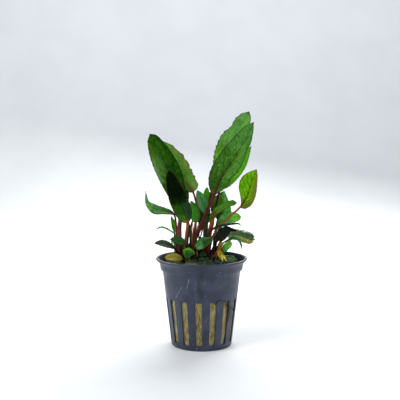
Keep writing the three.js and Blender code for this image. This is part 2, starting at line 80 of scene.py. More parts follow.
# Rock wool and moss.
GAP = 0.3
WOOL_TOP = 46.3
WOOL_SHOULDER = 36
WOOL_COLUMNS = 180
FIBRES_PER_SLOT = 70
FIBRE_TURN = 0.088
MOSS_BOTTOM = 46.6
MOSS_RADIUS = 20.6
MOSS_EDGE_TOP = 47.8
MOSS_MIDDLE_TOP = 49.8
MOSS_COLUMNS = 160
FRONT_MOSS = -8
DARK_STRANDS = 3400
EDGE_STRANDS = 110
ALGAE_TRIES = 2600

# Each stalk stands upright in the wool and leaves the moss at ROOT_TOP.
ROOT_FOOT = 42
ROOT_MIDDLE = 46.5
ROOT_TOP = 50.5

# A leaf blade.
BLADE_HALF = 0.16
MARGIN_HALF = 0.05
NARROWEST = 0.12
NECK_SHARE = 0.15
COLUMN_WIDTH = 0.42
ROW_LENGTH = 0.7
APEX = 0.1
STALK_ROW_LENGTH = 1.1
LENGTH_STEPS = 24
STRIPE_STEP = 1.8
VEIN_PAIRS = 7
QUILT_DEPTH = 0.1
GROOVE_DEPTH = 0.22


# Small helpers

def linear(*colour):
    """A colour given as 0 to 255 on a screen, as the linear colour that a shader takes."""
    shares = [value / 255 for value in colour]
    return [s / 12.92 if s <= 0.04045 else ((s + 0.055) / 1.055) ** 2.4 for s in shares] + [1.0]


def smooth(low, high, value):
    share = min(1, max(0, (value - low) / (high - low)))
    return share * share * (3 - 2 * share)


def around(radius, angle, z):
    """The point at an angle around the pot's axis."""
    return (radius * math.cos(angle), radius * math.sin(angle), z)


def full_turn(count):
    return [2 * math.pi * k / count for k in range(count)]


def link(name, data):
    thing = bpy.data.objects.new(name, data)
    bpy.context.scene.collection.objects.link(thing)
    return thing


class Graph:
    """The nodes of one material. A value is a number, another node's output or, as a tuple, a colour given
    as 0 to 255 on a screen."""

    def __init__(self, name):
        self.material = bpy.data.materials.new(name)
        self.material.use_nodes = True
        self.tree = self.material.node_tree
        self.tree.nodes.clear()

    def node(self, kind, values=(), output=0, **settings):
        node = self.tree.nodes.new("ShaderNode" + kind)
        for name, value in settings.items():
            setattr(node, name, value)
        pairs = values.items() if isinstance(values, dict) else enumerate(values)
        for key, value in pairs:
            if isinstance(value, bpy.types.NodeSocket):
                self.tree.links.new(value, node.inputs[key])
            elif value is not None:
                node.inputs[key].default_value = linear(*value) if isinstance(value, tuple) else value
        return node.outputs[output]

    def math(self, operation, *values):
        return self.node("Math", values, operation=operation)

    def times(self, value, *others):
        for other in others:
            value = self.math("MULTIPLY", value, other)
        return value

    def sloped(self, value, slope, start):
        """start, and slope more for each 1 of value."""
        return self.math("MULTIPLY_ADD", value, slope, start)

    def between(self, value, low, high, first, last):
        """value's place from low to high, as a number from first to last."""
        return self.node("MapRange", [value, low, high, first, last])

    def step(self, value, low, high):
        """0 below low, 1 above high and a soft step between them. low may be the greater."""
        return self.node("MapRange", [value, low, high, 0.0, 1.0], interpolation_type="SMOOTHSTEP")

    def window(self, value, reach, soft):
        """1 where value lies within reach, falling to 0 over soft on either side of each end."""
        low, high = reach
        rising = self.step(value, low - soft, low + soft)
        return self.times(rising, self.step(value, high + soft, high - soft))

    def attribute(self, name):
        return self.node("Attribute", output="Fac", attribute_name=name)

    def place(self, *scale):
        """Where a point is, in millimetres, stretched by scale."""
        found = self.node("TexCoord", output="Object")
        return self.node("Mapping", {"Vector": found, "Scale": [s / MM for s in scale or (1, 1, 1)]})

    def axis(self, name):
        return self.node("SeparateXYZ", [self.place()], output=name)

    def noise(self, size, detail=3.0, tall=1, distortion=0.0):
        """Soft noise with patches of about size millimetres, drawn out upright where tall is below 1."""
        values = {"Scale": 1 / size, "Detail": detail, "Distortion": distortion}
        return self.node("TexNoise", {"Vector": self.place(1, 1, tall), **values})

    def mix(self, share, first, second):
        return self.node("Mix", {0: share, 6: first, 7: second}, output=2, data_type="RGBA")

    def lay(self, base, colour, *shares):
        """base with colour over it, as strong as the shares' product."""
        return self.mix(self.times(*shares), base, colour)

    def shift(self, colour, value, saturation=1.0, hue=0.5):
        values = {"Hue": hue, "Saturation": saturation, "Value": value, "Color": colour}
        return self.node("HueSaturation", values)

    def bump(self, height, distance, strength=1.0):
        return self.node("Bump", {"Height": height, "Distance": distance * MM, "Strength": strength})

    def surface(self, colour, rough, normal=None, ior=None, gloss=None):
        values = {"Base Color": colour, "Roughness": rough, "Normal": normal}
        return self.node("BsdfPrincipled", {**values, "IOR": ior, "Specular IOR Level": gloss})

    def finish(self, shader):
        output = self.tree.nodes.new("ShaderNodeOutputMaterial")
        self.tree.links.new(shader, output.inputs["Surface"])
        return self.material


def new_mesh(name, vertices, faces, material):
    """A smooth mesh from points in millimetres."""
    mesh = bpy.data.meshes.new(name)
    mesh.from_pydata((np.asarray(vertices, float) * MM).tolist(), [], faces)
    mesh.polygons.foreach_set("use_smooth", [True] * len(mesh.polygons))
    mesh.materials.append(material)
    mesh.update()
    return mesh


def new_piece(name, vertices, faces, material, node=None, slot=None, attributes=None):
    """A mesh that rides on the part's one body."""
    mesh = new_mesh(name, vertices, faces, material)
    for key, values in (attributes or {}).items():
        layer = mesh.attributes.new(key, "FLOAT", "POINT")
        layer.data.foreach_set("value", np.asarray(values, np.float32))
    piece = link(name, mesh)
    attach(piece, "root")
    if node:
        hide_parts(node)
    return piece


def fibre_material(name, dark, light):
    g = Graph(name)
    tone = g.noise(1.2, tall=0.4)
    colour = g.mix(g.step(tone, 0.35, 0.65), dark, light)
    colour = g.lay(colour, light, g.attribute("run"), 0.4)
    return g.finish(g.surface(colour, 0.75))


# Curves

class MiddleLine:
    """A centripetal Catmull-Rom curve through points, which at(0) starts and at(1) ends."""

    def __init__(self, points):
        self.points = [np.array(point, float) for point in points]

    def at(self, share):
        points = self.points
        last = len(points) - 1
        segment = min(int(share * last), last - 1)
        t = share * last - segment
        a = points[segment - 1] if segment > 0 else 2 * points[0] - points[1]
        b, c = points[segment:segment + 2]
        d = points[segment + 2] if segment + 2 <= last else 2 * points[-1] - points[-2]
        gap_0, gap_1, gap_2 = (np.linalg.norm(q - p) ** 0.5 for p, q in ((a, b), (b, c), (c, d)))
        start = ((b - a) / gap_0 - (c - a) / (gap_0 + gap_1) + (c - b) / gap_1) * gap_1
        end = ((c - b) / gap_1 - (d - b) / (gap_1 + gap_2) + (d - c) / gap_2) * gap_1
        cubic = 2 * b - 2 * c + start + end
        square = -3 * b + 3 * c - 2 * start - end
        return b + start * t + square * t ** 2 + cubic * t ** 3

    def along(self, share):
        reach = 0.0001
        step = self.at(min(1, share + reach)) - self.at(max(0, share - reach))
        return step / np.linalg.norm(step)

    def length(self, start, end):
        steps = LENGTH_STEPS
        stops = [self.at(start + (end - start) * i / steps) for i in range(steps + 1)]
        return sum(np.linalg.norm(q - p) for p, q in zip(stops, stops[1:]))

    def path(self, steps, radius):
        """The curve as a path for tubes, with radius(share) at each of its steps."""
        return [(Vector(self.at(i / steps)), radius(i / steps)) for i in range(steps + 1)]


def ring_faces(rows, count, first=0):
    """The faces of a closed tube of rows rings with count points each, its two ends capped."""
    faces = []
    for row in range(first, first + (rows - 1) * count, count):
        for k in range(count):
            after = (k + 1) % count
            faces.append((row + k, row + after, row + count + after, row + count + k))
    faces.append(tuple(range(first + count - 1, first - 1, -1)))
    end = first + (rows - 1) * count
    faces.append(tuple(range(end, end + count)))
    return faces


def tube_piece(name, paths, sides, dark, light, slot, material):
    """Thin round tubes along paths, each a list of (point, radius), as one piece."""
    vertices = []
    faces = []
    runs = []
    for path in paths:
        last = len(path) - 1
        faces += ring_faces(last + 1, sides, len(vertices))
        side = None
        for i, (point, radius) in enumerate(path):
            before = Vector(path[max(0, i - 1)][0])
            along = (Vector(path[min(last, i + 1)][0]) - before).normalized()
            if side is None:
                side = along.orthogonal().normalized()
            side = (side - along * side.dot(along)).normalized()
            other = along.cross(side)
            for angle in full_turn(sides):
                out = side * math.cos(angle) + other * math.sin(angle)
                vertices.append(Vector(point) + out * radius)
            runs += [i / last] * sides
    skin = fibre_material(material, dark, light)
    return new_piece(name, vertices, faces, skin, slot=slot, attributes={"run": runs})


# Leaf materials

def leaf_material(name, colours, left=0.6, right=0.6, lines=0.35, ribs=0.7, veins=0.4, stripes=0.3,
                  spots=0.3, spot=None, dots=0.3, drop_glints=0.0, rim=0.85, shine=0.34, gloss=0.1, glow=0.3,
                  patches=2.6, bow=0.0, zones=()):
    """A leaf's skin. Its colours are the green, the fresh patches between the side veins, the rib, the
    edge, the stalk and the stalk's foot. left and right are the patches' strengths. spots, dots and
    drop_glints are those of its small light marks, dark marks and painted glints of water droplets, and
    spot is a colour for the light ones. lines, ribs, veins, stripes and rim are those of its fine lines,
    middle rib, side veins, slanting stripes and edge. Each of zones is a colour, its reach along the blade,
    its reach across and its strength, and bow bends the zones' ends; zones lay the blade's own patches and
    also painted light: painted sheen, painted light shining through and painted shade. glow is the share
    of light that comes through."""
    deep, fresh, rib, edge, stalk, foot = colours
    g = Graph(name)
    share, across, is_stalk, is_under, from_edge, from_middle, phase, along = (
        g.attribute(fact) for fact in
        ("share", "across", "stalk", "under", "from_edge", "from_middle", "vein", "along"))
    out = g.math("ABSOLUTE", across)

    clouds = g.noise(patches, distortion=0.3)
    specks = g.noise(0.7)
    mottle = g.noise(1.5, detail=2, tall=0.75, distortion=0.3)
    streaks = g.noise(0.5, tall=0.1)
    lines_at = g.node("CombineXYZ", [g.times(phase, 9.0), g.times(across, 1.5), share])
    grain = g.node("TexNoise", {"Vector": lines_at, "Scale": 1.0, "Detail": 3.0})
    from_vein = g.math("PINGPONG", g.sloped(specks, 0.08, phase), 0.5)

    band = g.times(g.step(out, 0.06, 0.4), g.step(out, 1.05, 0.7))
    patch = g.times(g.between(from_vein, 0.05, 0.3, 0.35, 1.0), band, g.step(clouds, 0.42, 0.62))
    blade = g.lay(deep, fresh, patch, g.between(across, -0.12, 0.12, left, right))
    bent = g.sloped(g.times(out, out), -bow, share)
    at = g.sloped(clouds, 0.16, g.math("SUBTRACT", bent, 0.08))
    broken = g.between(mottle, 0.36, 0.56, 0.5, 1.05)
    # Zones lay the blade's own patches and also painted light: painted sheen, painted light shining through
    # and painted shade.
    for colour, along_reach, across_reach, strength in zones:
        soft = min(0.14, (across_reach[1] - across_reach[0]) / 2)
        beside = g.sloped(specks, 2 * soft, g.math("SUBTRACT", across, soft))
        inside = g.times(g.window(at, along_reach, 0.06), g.window(beside, across_reach, soft))
        if strength < 0.9:
            inside = g.times(inside, broken)
        blade = g.lay(blade, colour, inside, strength)

    darker = g.shift(blade, 0.6, saturation=1.05)
    lighter = spot or g.shift(blade, 1.35, hue=0.485)
    light_mark = g.times(g.step(mottle, 0.52, 0.62), g.step(out, 1.0, 0.75))
    stripe_at = g.sloped(specks, 0.25, g.sloped(out, -0.9, along))
    stripe = g.times(g.step(g.math("PINGPONG", stripe_at, 0.5), 0.22, 0.05), g.step(clouds, 0.4, 0.6))
    blade = g.lay(blade, lighter, light_mark, spots)
    blade = g.lay(blade, darker, g.step(mottle, 0.43, 0.34), dots)
    blade = g.lay(blade, darker, g.step(grain, 0.42, 0.66), lines)
    blade = g.lay(blade, darker, g.step(g.noise(9, detail=1), 0.55, 0.35), 0.35)
    blade = g.lay(blade, darker, stripe, stripes)

    side_vein = g.times(g.step(from_vein, 0.14, 0.02), g.step(out, 0.98, 0.7))
    blade = g.lay(blade, g.mix(0.55, darker, rib), side_vein, veins)
    rib_width = g.sloped(share, -0.5, 0.8)
    rib_line = g.step(g.math("DIVIDE", from_middle, rib_width), 0.95, 0.4)
    blade = g.lay(blade, rib, rib_line, g.times(g.between(share, 0.1, 0.9, 1.0, 0.35), ribs))
    # Painted glints: pale specks where light shines off water droplets on the blade.
    if drop_glints:
        blade = g.lay(blade, (166, 190, 160), g.step(g.noise(1.0, detail=0), 0.76, 0.82), drop_glints)
    margin = g.step(g.math("ADD", from_edge, g.sloped(specks, 0.3, -0.15)), 0.6, 0.2)
    blade = g.lay(blade, edge, margin, rim)
    blade = g.lay(blade, edge, g.step(g.sloped(specks, 0.02, share), 0.97, 1.0), rim)
    blade = g.mix(is_under, blade, g.shift(blade, 1.25, saturation=0.85))

    low = g.axis("Z")
    stem = g.mix(g.step(low, 66, 52), stalk, foot)
    stem = g.lay(stem, foot, g.step(streaks, 0.4, 0.66), 0.7)
    # Painted shade: the stalk turns black-brown where it goes into the moss, among the crowded stalks.
    stem = g.mix(g.step(low, 53.5, 50.5), stem, BLACK_BROWN)
    colour = g.mix(is_stalk, blade, stem)

    height = g.math("SUBTRACT", g.times(grain, 0.35), g.times(side_vein, 0.5))
    height = g.sloped(mottle, 0.8, height)
    height = g.sloped(streaks, g.times(is_stalk, 0.6), height)
    normal = g.bump(height, 0.16, 0.8)
    rough = g.between(specks, 0.3, 0.8, shine - 0.07, shine + 0.12)
    body = g.surface(colour, rough, normal, ior=1.42, gloss=gloss)
    lit = g.node("BsdfTranslucent", {"Color": g.shift(colour, 1.9), "Normal": normal})
    return g.finish(g.node("MixShader", [g.sloped(is_stalk, -glow * 0.8, glow), body, lit]))


DARK_RED = (62, 20, 16)
ORANGE_RED = (172, 80, 48)
BROWN = (88, 50, 30)
BLACK_BROWN = (26, 16, 13)
DARK_STALK = (28, 24, 18)
# Reaches along a blade, from its neck at 0 to its tip at 1, and across it, from -1 to 1.
WHOLE = (-0.3, 1.3)
BOTH = (-1.4, 1.4)
LEFT = (-1.4, 0)
RIGHT = (0, 1.4)
LOOKS = {
    # Tall left leaf: its lighter left half is painted light, the pale bluish zones near its left margin are
    # a painted sheen and the thin light line right of the midrib is a painted highlight.
    "dark": dict(
        colours=[(14, 76, 2), (92, 144, 14), (26, 42, 26), (52, 24, 12), (158, 92, 76), (88, 42, 36)],
        left=0.7, right=0.15, ribs=0.8, lines=0.75, stripes=0.5, spots=0.5, spot=(80, 126, 22), dots=0.6,
        shine=0.25, glow=0.22, zones=[((54, 104, 10), WHOLE, (-1.4, -0.1), 0.7),
        ((104, 164, 84), (0.48, 0.78), (-0.9, -0.2), 0.5), ((62, 124, 18), (0.62, 1), (-0.1, 0.5), 0.5),
        ((60, 92, 52), (0.2, 0.95), (-0.2, -0.1), 0.75), ((52, 84, 46), (0.2, 0.6), (0.08, 0.22), 0.6),
        ((146, 182, 134), (0.42, 0.74), (-1.02, -0.74), 0.6),
        ((112, 148, 26), (0.45, 0.9), (-0.85, -0.5), 0.25)]),
    # Front left leaf: its near-black upper blade is painted shade, where the leaf behind keeps light from
    # shining through; its lighter lower zones are painted light shining through, and the pale bluish zone
    # right of the midrib is a painted sheen.
    "shade": dict(colours=[(2, 16, 0), (10, 34, 0), (10, 24, 6), (52, 24, 10), ORANGE_RED, (150, 92, 64)],
        left=0.9, right=0.7, ribs=0.5, veins=0.2, stripes=0.2, spots=0.2, shine=0.3, gloss=0.03, glow=0.1,
        bow=0.1, zones=[((20, 44, 4), (-0.3, 0.56), BOTH, 0.8), ((44, 92, 14), (-0.3, 0.43), LEFT, 1),
        ((42, 74, 40), (-0.3, 0.43), RIGHT, 1), ((68, 94, 82), (0.1, 0.44), (0.02, 0.2), 0.55),
        ((84, 138, 44), (-0.3, 0.2), (-1.4, 0.1), 0.75),
        ((70, 50, 14), (-0.3, 0.5), (-1.4, -0.85), 0.6)]),
    # Tall right leaf: the pale top zone and the lighter zone on the right are a painted sheen, and its pale
    # specks are painted glints of water droplets.
    "brownrib": dict(
        colours=[(58, 116, 34), (104, 160, 46), (66, 34, 20), (50, 26, 18), (66, 33, 20), (122, 60, 42)],
        left=0.45, right=0.6, ribs=0.9, lines=0.6, stripes=0.35, spots=0.65, spot=(110, 156, 36),
        dots=0.7, drop_glints=0.5, glow=0.28, patches=2, zones=[((96, 164, 84), (0.6, 1.3), BOTH, 0.6),
        ((104, 170, 76), (0.24, 0.62), (0.25, 1.4), 0.55), ((40, 74, 22), (-0.3, 0.3), LEFT, 0.45)]),
    # Tall back leaf: the pale bluish zone at its top is a painted sheen.
    "mottled": dict(
        colours=[(92, 146, 60), (132, 176, 44), (84, 110, 50), (60, 44, 26), (40, 24, 16), BLACK_BROWN],
        left=0.75, right=0.6, ribs=0.4, lines=0.4, spots=0.7, spot=(132, 168, 36), dots=0.5, glow=0.35,
        patches=2.2, zones=[((116, 176, 122), (0.6, 1.2), BOTH, 0.4)]),
    "pale": dict(
        colours=[(106, 160, 66), (134, 180, 72), (150, 96, 72), (96, 48, 24), (156, 58, 40), (124, 60, 42)],
        left=0.4, right=0.5, ribs=0.75, lines=0.4, spots=0.3, rim=0.95, glow=0.32,
        zones=[((150, 124, 62), (0.06, 0.8), (0.8, 1.4), 0.75), ((132, 160, 90), WHOLE, (0.3, 0.85), 0.4),
        ((122, 170, 100), (0.2, 0.9), (-1.4, -0.2), 0.4)]),
    "bright": dict(
        colours=[(118, 174, 20), (146, 196, 30), (92, 58, 18), (120, 46, 18), (166, 104, 74), (84, 26, 20)],
        left=0.7, right=0.4, ribs=1, veins=0.95, lines=0.35, spots=0.3, dots=0.4, glow=0.42,
        zones=[((136, 124, 56), WHOLE, (0.4, 1.4), 0.75), ((104, 124, 36), (-0.3, 0.24), BOTH, 0.7)]),
    "strip": dict(
        colours=[(92, 160, 36), (116, 178, 50), (66, 130, 36), (70, 104, 30), (66, 58, 30), DARK_RED],
        ribs=0.4, glow=0.4),
    "side": dict(
        colours=[(78, 138, 46), (112, 164, 76), (34, 84, 28), (60, 106, 44), (124, 52, 46), DARK_RED],
        ribs=0.5, lines=0.8, glow=0.35, zones=[((140, 178, 126), (0.1, 0.5), (-0.9, 0.5), 0.5),
        ((146, 202, 122), (0.55, 1.2), BOTH, 0.75)]),
    "tall": dict(
        colours=[(98, 164, 66), (118, 182, 76), (92, 150, 110), (86, 140, 50), (60, 80, 36), DARK_RED],
        ribs=0.3, lines=0.3, glow=0.35, zones=[((84, 134, 22), WHOLE, (-1.4, -0.3), 0.7),
        ((120, 174, 140), WHOLE, (-0.2, 0.25), 0.7)]),
    "young": dict(
        colours=[(72, 144, 26), (102, 170, 38), (76, 150, 40), (60, 120, 26), (86, 110, 38), (66, 56, 28)],
        ribs=0.4, glow=0.4),
    "arch": dict(
        colours=[(96, 152, 96), (128, 176, 110), (76, 140, 70), (120, 160, 90), (90, 136, 80),
        (50, 66, 34)],
        ribs=0.3, glow=0.4, zones=[((150, 190, 90), (0.55, 0.88), BOTH, 0.7),
        ((196, 150, 84), (0.88, 1.3), BOTH, 0.9)]),
    "lower": dict(
        colours=[(40, 106, 18), (72, 142, 28), (32, 76, 16), (84, 150, 44), (70, 70, 30), BLACK_BROWN],
        ribs=0.5, rim=0.6, lines=0.5, glow=0.3, zones=[((112, 186, 56), WHOLE, (-1.4, -0.6), 0.85),
        ((26, 78, 20), WHOLE, (0.1, 1.4), 0.6), ((116, 190, 60), (-0.3, 0.14), BOTH, 0.85)]),
    "lobe": dict(
        colours=[(110, 176, 70), (144, 200, 88), (86, 150, 50), (90, 130, 36), (70, 90, 36), DARK_RED],
        left=0.7, right=0.7, ribs=0.4, glow=0.4, zones=[((116, 180, 116), (-0.3, 0.55), BOTH, 0.6),
        ((50, 112, 48), (-0.3, 0.25), BOTH, 0.75), ((142, 202, 52), (0.6, 1.3), (0.1, 1.4), 0.6)]),
    "inner": dict(
        colours=[(84, 160, 54), (116, 178, 70), (48, 108, 36), (46, 94, 26), (158, 70, 40), (122, 56, 36)],
        ribs=0.4, lines=0.5, glow=0.32, zones=[((40, 104, 28), WHOLE, (0.3, 1.4), 0.55)]),
    "blue": dict(
        colours=[(90, 162, 92), (118, 180, 116), (46, 92, 50), (50, 92, 44), (60, 90, 42), (40, 50, 28)],
        ribs=0.5, lines=0.75, glow=0.3, zones=[((130, 176, 134), (0.3, 0.9), (-1.4, -0.3), 0.5),
        ((36, 98, 46), (-0.3, 0.5), (0.1, 1.4), 0.55)]),
    "droop": dict(
        colours=[(64, 148, 84), (112, 178, 112), (48, 110, 62), (56, 118, 66), (60, 110, 60), (40, 60, 34)],
        ribs=0.5, glow=0.35),
    "husky": dict(colours=[(62, 46, 22), (92, 66, 30), (40, 26, 16), (44, 28, 16), BROWN, BLACK_BROWN],
        ribs=0.6, dots=0.6, shine=0.5, glow=0.15),
    "hidden": dict(
        colours=[(24, 66, 24), (44, 96, 32), (20, 50, 20), (26, 44, 16), (40, 50, 24), BLACK_BROWN],
        ribs=0.4, glow=0.2),
    "olive": dict(
        colours=[(72, 122, 26), (104, 146, 36), (74, 56, 22), (92, 60, 20), (50, 60, 28), (40, 36, 20)],
        ribs=0.4, glow=0.28, zones=[((78, 84, 16), (-0.3, 0.35), BOTH, 0.8)]),
    "folded": dict(
        colours=[(66, 146, 36), (96, 166, 56), (120, 66, 24), (60, 50, 18), (144, 66, 28), (92, 36, 18)],
        ribs=0.9, rim=0.5, glow=0.25, zones=[((70, 96, 28), (-0.3, 0.42), BOTH, 0.92),
        ((108, 62, 24), (-0.3, 0.4), (0.2, 1.4), 0.85), ((30, 100, 16), (0.86, 0.96), BOTH, 0.6),
        ((20, 50, 8), (0.97, 1.3), BOTH, 0.9)]),
    "low": dict(
        colours=[(42, 98, 32), (76, 136, 50), (26, 70, 22), (40, 60, 22), (60, 44, 26), BLACK_BROWN],
        ribs=0.5, rim=0.5, lines=0.6, shine=0.3, gloss=0.15, glow=0.2),
    "centre": dict(
        colours=[(42, 104, 28), (66, 132, 42), (24, 68, 20), (36, 62, 22), (60, 44, 26), BLACK_BROWN],
        ribs=0.5, rim=0.5, lines=0.55, shine=0.3, gloss=0.15, glow=0.2,
        zones=[((108, 176, 106), (-0.3, 0.45), (-0.5, 1.4), 0.8),
        ((26, 66, 18), (0.5, 1.3), (-0.6, 1.4), 0.75), ((78, 128, 70), (0.3, 0.9), (-1.4, -0.5), 0.5)]),
    "grey": dict(
        colours=[(70, 94, 66), (104, 126, 90), (54, 50, 42), (60, 44, 38), (76, 50, 38), BLACK_BROWN],
        ribs=0.8, lines=0.6, glow=0.15, zones=[((54, 44, 40), (-0.3, 0.45), (-0.8, -0.1), 0.6),
        ((150, 142, 100), (0.4, 0.48), (-0.5, -0.1), 0.8)]),
    "black": dict(
        colours=[(14, 26, 18), (36, 48, 26), (24, 32, 20), (22, 18, 14), DARK_STALK, BLACK_BROWN],
        ribs=0.4, shine=0.4, gloss=0.1, glow=0.06, zones=[((38, 40, 18), (-0.3, 0.5), BOTH, 0.7)]),
    "shaded": dict(
        colours=[(58, 66, 50), (82, 96, 70), (30, 32, 24), (34, 30, 22), (50, 42, 26), BLACK_BROWN],
        ribs=0.5, lines=0.6, glow=0.12, zones=[((44, 46, 32), (0.6, 1.3), BOTH, 0.8)]),
    "algae": dict(
        colours=[(128, 158, 118), (180, 196, 154), (96, 116, 76), (190, 196, 136),
        (60, 66, 38), BLACK_BROWN],
        ribs=0.3, lines=0.3, spots=0.6, dots=0.7, shine=0.75, gloss=0.05, glow=0.55, patches=1.6,
        zones=[((66, 116, 74), (0.45, 0.88), (-1.2, 0.0), 0.65),
        ((218, 210, 116), (0.42, 1.3), (0.2, 1.5), 0.85), ((128, 142, 112), (-0.3, 0.4), BOTH, 0.6)]),
    "yellow": dict(
        colours=[(156, 144, 50), (196, 182, 92), (128, 112, 44), (120, 100, 40), (116, 98, 40), BROWN],
        left=0.9, right=0.9, ribs=0.3, veins=0.3, shine=0.45, glow=0.25,
        zones=[((104, 116, 28), (-0.3, 0.35), BOTH, 0.85)]),
    "withered": dict(
        colours=[(190, 172, 44), (222, 208, 70), (150, 104, 36), (150, 112, 44), (162, 100, 60),
        (140, 66, 32)],
        left=0.9, right=0.9, ribs=0.4, shine=0.6, glow=0.3,
        zones=[((160, 96, 58), WHOLE, (-1.4, -0.6), 0.5)]),
    "husk": dict(
        colours=[(176, 164, 62), (206, 194, 84), (120, 70, 30), (140, 84, 44), (162, 100, 60),
        (150, 76, 44)],
        left=0.9, right=0.9, ribs=0.5, dots=0.6, shine=0.6, glow=0.3,
        zones=[((178, 102, 58), WHOLE, (-1.4, -0.3), 0.8), ((74, 82, 34), (0.3, 0.8), (0, 0.6), 0.6)]),
}
# The slot that the leaves of each look belong to, unless a leaf names its own.
SLOTS = {
    "leaf_dark": ("dark", "shade", "brownrib", "hidden", "low", "black", "shaded"),
    "leaf_mid": ("mottled", "pale", "inner", "blue", "droop", "folded", "centre"),
    "leaf_bright": ("bright", "strip", "side", "tall", "young", "arch", "lower", "lobe"),
    "leaf_old": ("husky", "olive", "grey", "algae"),
    "leaf_dead": ("yellow", "withered", "husk"),
}

# Leaf shapes

def fullness(share, widest, base, tip):
    """A blade's outline, from 0 at the neck through 1 at its widest place to 0 at the tip."""
    if share <= 0 or share >= 1:
        return 0.0
    if share < widest:
        return math.sin(math.pi / 2 * share / widest) ** base
    rest = (1 - share) / (1 - widest)
    return min(1, rest / APEX) * math.sin(math.pi / 2 * max(rest, APEX)) ** tip


LEANING = ((0, -0.8, 0.6), (0, -0.8, 0.6))
TILTED = ((0, -0.7, 0.7), (0, -0.7, 0.7))
LYING = ((0, 0.2, 1), (0, 0.4, 1))
HANGING = ((0, -0.8, 0.6), (0.7, -0.7, 0.2))


class Leaf(NamedTuple):
    """A leaf's root, the points of its stalk and blade, its look and its shape. half, widest, base and tip
    are for the left and the right half of the blade. faces is the way that its upper side looks at the
    neck and at the tip. fold is the angle that its halves rise at. ruffle is the height of its broad waves
    and waves their number, and crimp is the height of the small ones along the margin, which crowd
    together as frill grows. thick is the stalk's thickness at the foot and at the neck. Each of dips is
    a half, a place along the margin, a depth and a width."""
    root: tuple
    stalk: list
    blade: list
    look: str
    half: tuple = (3, 3)
    widest: tuple = (0.45, 0.45)
    base: tuple = (0.5, 0.5)
    tip: tuple = (0.7, 0.7)
    faces: tuple = ((0, -1, 0.3), (0, -1, 0.3))
    fold: float = 0.15
    ruffle: float = 0
    waves: int = 2
    thick: tuple = (1.5, 1.1)
    crimp: float = 0.12
    frill: float = 50
    dips: tuple = ()
    slot: str = None


LEAF_FACTS = ("from_edge", "from_middle", "vein", "across", "stalk")


def leaf_row(leaf, line, at, neck_at, columns, start):
    """One row of a leaf: its points above and below, and what the material reads at each."""
    share = max(0.0, (at - neck_at) / (1 - neck_at))
    stalk_left = max(0.0, 1 - at / neck_at)
    centre = line.at(at)
    along = line.along(at)
    first, last = (np.array(face, float) for face in leaf.faces)
    faces = first * (1 - share) + last * share
    up = faces - along * faces.dot(along)
    up /= np.linalg.norm(up)
    across = np.cross(along, up)
    foot, top = leaf.thick
    stalk_radius = (top + (foot - top) * stalk_left ** 2) / 2
    thinned = stalk_radius * (1 - share)
    roundness = 1 - smooth(0, NECK_SHARE, share)
    flatness = 1 - roundness
    spread = [leaf.half[i] * fullness(share, leaf.widest[i], leaf.base[i], leaf.tip[i]) for i in (0, 1)]
    for side, place, depth, width in leaf.dips:
        spread[side] *= 1 - depth * math.exp(-((share - place) / width) ** 2)
    above = []
    below = []
    facts = {key: [] for key in LEAF_FACTS}
    red_width = 1.1 * stalk_radius
    run = start + share * leaf.frill
    for k in range(columns):
        even = 2 * k / (columns - 1) - 1
        round_place = -math.cos(math.pi * k / (columns - 1))
        u = even * flatness + round_place * roundness
        side = 0 if u < 0 else 1
        reach = max(spread[side], thinned, NARROWEST)
        relative = spread[side] / leaf.half[side]
        out = u * reach
        arc = math.sqrt(max(0.0, 1 - u * u))
        half = (MARGIN_HALF + (BLADE_HALF - MARGIN_HALF) * arc) * flatness + stalk_radius * arc * roundness
        rib = 0.8 * stalk_radius * (1 - share) * math.exp(-(out / (0.2 + thinned)) ** 2) * flatness
        crimp = leaf.crimp * relative * abs(u) ** 4
        edge_wave = math.sin(run * 1.9 + 2 * side) + 0.6 * math.sin(run * 3.3 + side)
        fold = (math.sqrt(u * u + 0.01) - 0.1) * spread[side] * math.tan(leaf.fold)
        wave = math.sin(2 * math.pi * leaf.waves * share + u)
        warp = noise.noise(Vector((start + u * 1.5, share * 4, leaf.half[0])))
        vein = share * VEIN_PAIRS - 2.4 * abs(u) ** 1.3 + 0.35 * warp
        quilt = QUILT_DEPTH * relative * (1 - u * u) * abs(u) ** 0.5 * math.cos(2 * math.pi * vein)
        groove = GROOVE_DEPTH * relative * math.exp(-(out / 0.5) ** 2) * flatness
        lift = fold + (leaf.ruffle * relative * u * u * wave + crimp * edge_wave)
        base = centre + across * (out + crimp * 0.8 * edge_wave * math.copysign(1, u))
        above.append(base + up * (half + lift - quilt - groove))
        below.append(base + up * (-half - rib + lift - quilt - groove * 0.3))
        is_stalk = roundness ** 1.5 * (1 - smooth(red_width, 2 * red_width, abs(out)))
        for key, value in zip(LEAF_FACTS, ((1 - abs(u)) * reach, abs(out), vein, u, is_stalk)):
            facts[key].append(value)
    return above, below, facts, share


